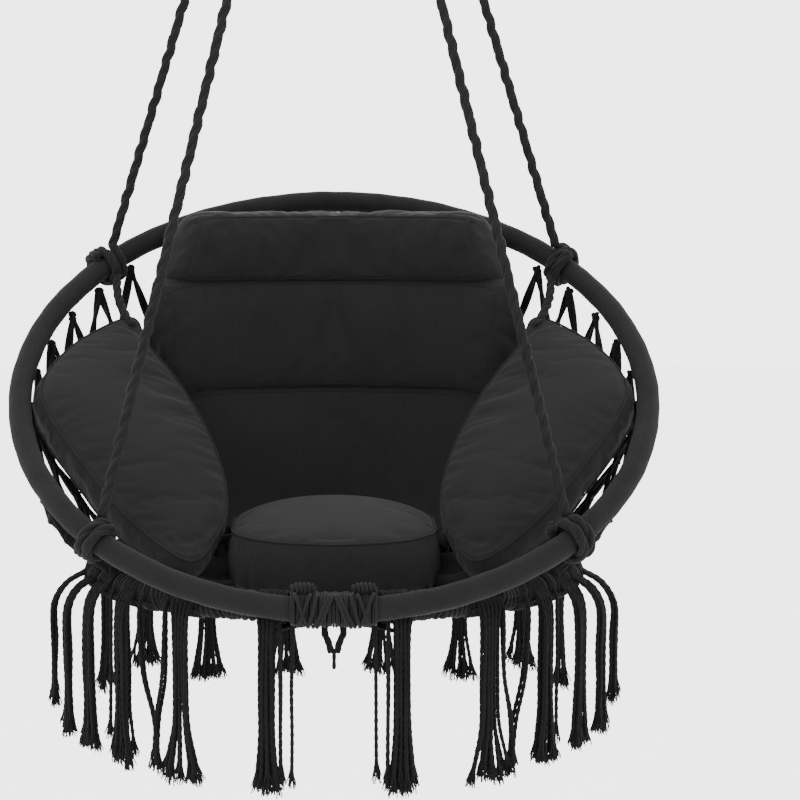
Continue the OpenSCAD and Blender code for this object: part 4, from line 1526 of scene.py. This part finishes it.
def zinc_finish():
    finish = Finish("zinc_plated_steel", {"Metallic": 1.0})
    crystals = finish.add("ShaderNodeTexVoronoi", {"feature": "F1"},
                          {"Vector": finish.place(), "Scale": 700.0}, 0)
    clouds = finish.speckle(90, 3)
    finish.give("Base Color", finish.blend(clouds, (0.16, 0.16, 0.165, 1), (0.26, 0.26, 0.26, 1)))
    finish.give("Roughness", 0.22 + clouds * 0.2 + crystals * 0.1)
    finish.bump(crystals * 0.5 + clouds * 0.5, 0.0001, 0.3)
    return finish.material


def painted_tube_finish():
    finish = Finish("black_painted_tube", {"Specular IOR Level": 0.5, "Coat Roughness": 0.2})
    peel = finish.speckle(260, 2)
    finish.give("Base Color", finish.blend(peel, (0.010, 0.010, 0.011, 1), (0.018, 0.018, 0.019, 1)))
    finish.give("Roughness", 0.32 + peel * 0.15)
    finish.bump(peel, 0.0002, 0.3)
    return finish.material


polished_steel = polished_steel_finish()
zinc = zinc_finish()
painted_tube = painted_tube_finish()
finishes = [
    (polished_steel, "polished_steel", ["ceiling_plate", "plate_boss", "plate_eye", "snap_hook_body",
                                        "snap_hook_gate", "rope_ring"]),
    (zinc, "zinc_steel", ["anchor_sleeves", "flat_washers", "spring_washers", "anchor_nuts", "gate_pin"]),
    (painted_tube, "tube_steel", ["upper_ring_tube", "lower_ring_tube"]),
]
for material, slot_name, nodes in finishes:
    for node in nodes:
        part = frame["nodes"][node]
        part.data.materials.clear()
        part.data.materials.append(material)
        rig.slot(part, slot_name)

# %% [markdown]
# ## Threaded studs
# The CAD stud is a plain rod with a cone at its top. The real one is threaded over its lower
# half, so it is made again here: rings of points whose radius rises and falls along a helix of
# one millimetre pitch, and then the smooth neck and the cone.

# %% Studs
studs_low, studs_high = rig.box("anchor_studs")
sleeves_low, sleeves_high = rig.box("anchor_sleeves")
thread_pitch = 0.001
stud_sides = 24
stud_places = sorted({(round(float(x), 3), round(float(y), 3)) for x in (studs_low.x, studs_high.x)
                      for y in (studs_low.y, studs_high.y)})
stud_r = 0.003
stud_parts = []
for x, y in stud_places:
    centre = np.array([x - math.copysign(0.0046, x), y - math.copysign(0.0046, y)])
    top = sleeves_high.z
    heights = np.linspace(studs_low.z, 0.012, 105)
    rows = []
    for z in heights:
        turn = np.linspace(0, 2 * math.pi, stud_sides, endpoint=False)
        tooth = np.abs(((z / thread_pitch - turn / (2 * math.pi)) % 1) - 0.5) * 2
        entry = min(1.0, (z - studs_low.z) / 0.0012)
        r = stud_r - 0.00055 * (1 - tooth) - 0.0005 * (1 - entry)
        rows.append(np.column_stack([centre[0] + r * np.cos(turn), centre[1] + r * np.sin(turn),
                                     np.full(stud_sides, z)]))
    for z, r in ((0.0125, stud_r - 0.0003), (top - 0.0004, stud_r - 0.0003), (top, stud_r),
                 (studs_high.z - 0.0006, 0.0046), (studs_high.z, 0.0040)):
        turn = np.linspace(0, 2 * math.pi, stud_sides, endpoint=False)
        rows.append(np.column_stack([centre[0] + r * np.cos(turn), centre[1] + r * np.sin(turn),
                                     np.full(stud_sides, z)]))
    faces = []
    for i in range(len(rows) - 1):
        for k in range(stud_sides):
            after = (k + 1) % stud_sides
            faces.append([i * stud_sides + k, i * stud_sides + after, (i + 1) * stud_sides + after,
                          (i + 1) * stud_sides + k])
    faces.append(list(range(stud_sides - 1, -1, -1)))
    faces.append(list(range((len(rows) - 1) * stud_sides, len(rows) * stud_sides)))
    stud_parts.append((np.vstack(rows), faces))
make_piece("threaded_studs", stud_parts, zinc, "ceiling_mount", "zinc_steel", ["anchor_studs"])

# %% [markdown]
# ## Floor
# The floor is painted nearly white with a very faint mottle. It is as bright as the sky, so
# the two run into each other at the horizon, and it catches a soft shadow under the chair.

# %% Floor finish
paint = Finish("studio_floor_paint", {"Specular IOR Level": 0.0})
mottle = paint.speckle(3, 2)
paint.give("Base Color", paint.blend(mottle, (0.93, 0.93, 0.93, 1), (0.97, 0.97, 0.97, 1)))
paint.give("Roughness", 0.9 + mottle * 0.05)
floor.data.materials.clear()
floor.data.materials.append(paint.material)

# %% [markdown]
# ## Black cards
# Polished steel shows only what stands round it, and in a white room it would vanish. A metal
# photographer sets up black cards, whose dark bands draw the edges of the wire and the plate.
# These cards are seen only in reflections, so that they don't shade the cloth.

# %% Black cards
card_paint = Finish("black_card", {"Specular IOR Level": 0.0})
card_grain = card_paint.speckle(40, 2)
card_tone = card_paint.blend(card_grain, (0.002, 0.002, 0.002, 1), (0.004, 0.004, 0.004, 1))
card_paint.give("Base Color", card_tone)
kit_middle = Vector(box_middle("plate_eye"))


def black_card(name, place, size):
    bpy.ops.mesh.primitive_plane_add(size=1, location=kit_middle + Vector(place))
    card = bpy.context.object
    card.name = name
    card.scale = (size[0], size[1], 1)
    card.rotation_euler = Vector(place).to_track_quat("-Z", "Y").to_euler()
    card.data.materials.append(card_paint.material)
    card.visible_camera = False
    card.visible_diffuse = False
    card.visible_shadow = False
    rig.stage(card)


black_card("left_card", (-1.0, -0.35, 0.1), (0.9, 1.3))
black_card("right_card", (1.0, -0.35, 0.1), (0.9, 1.3))
black_card("back_card", (0.1, 1.1, 0.0), (0.8, 1.2))
black_card("low_card", (0.25, -0.5, -1.0), (0.5, 0.5))

# %% Close the frame
seen_low, seen_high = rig.bounds()
with open("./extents.json", "w") as file:
    json.dump({"cad": [list(cad_low), list(cad_high)], "seen": [list(seen_low), list(seen_high)]}, file)
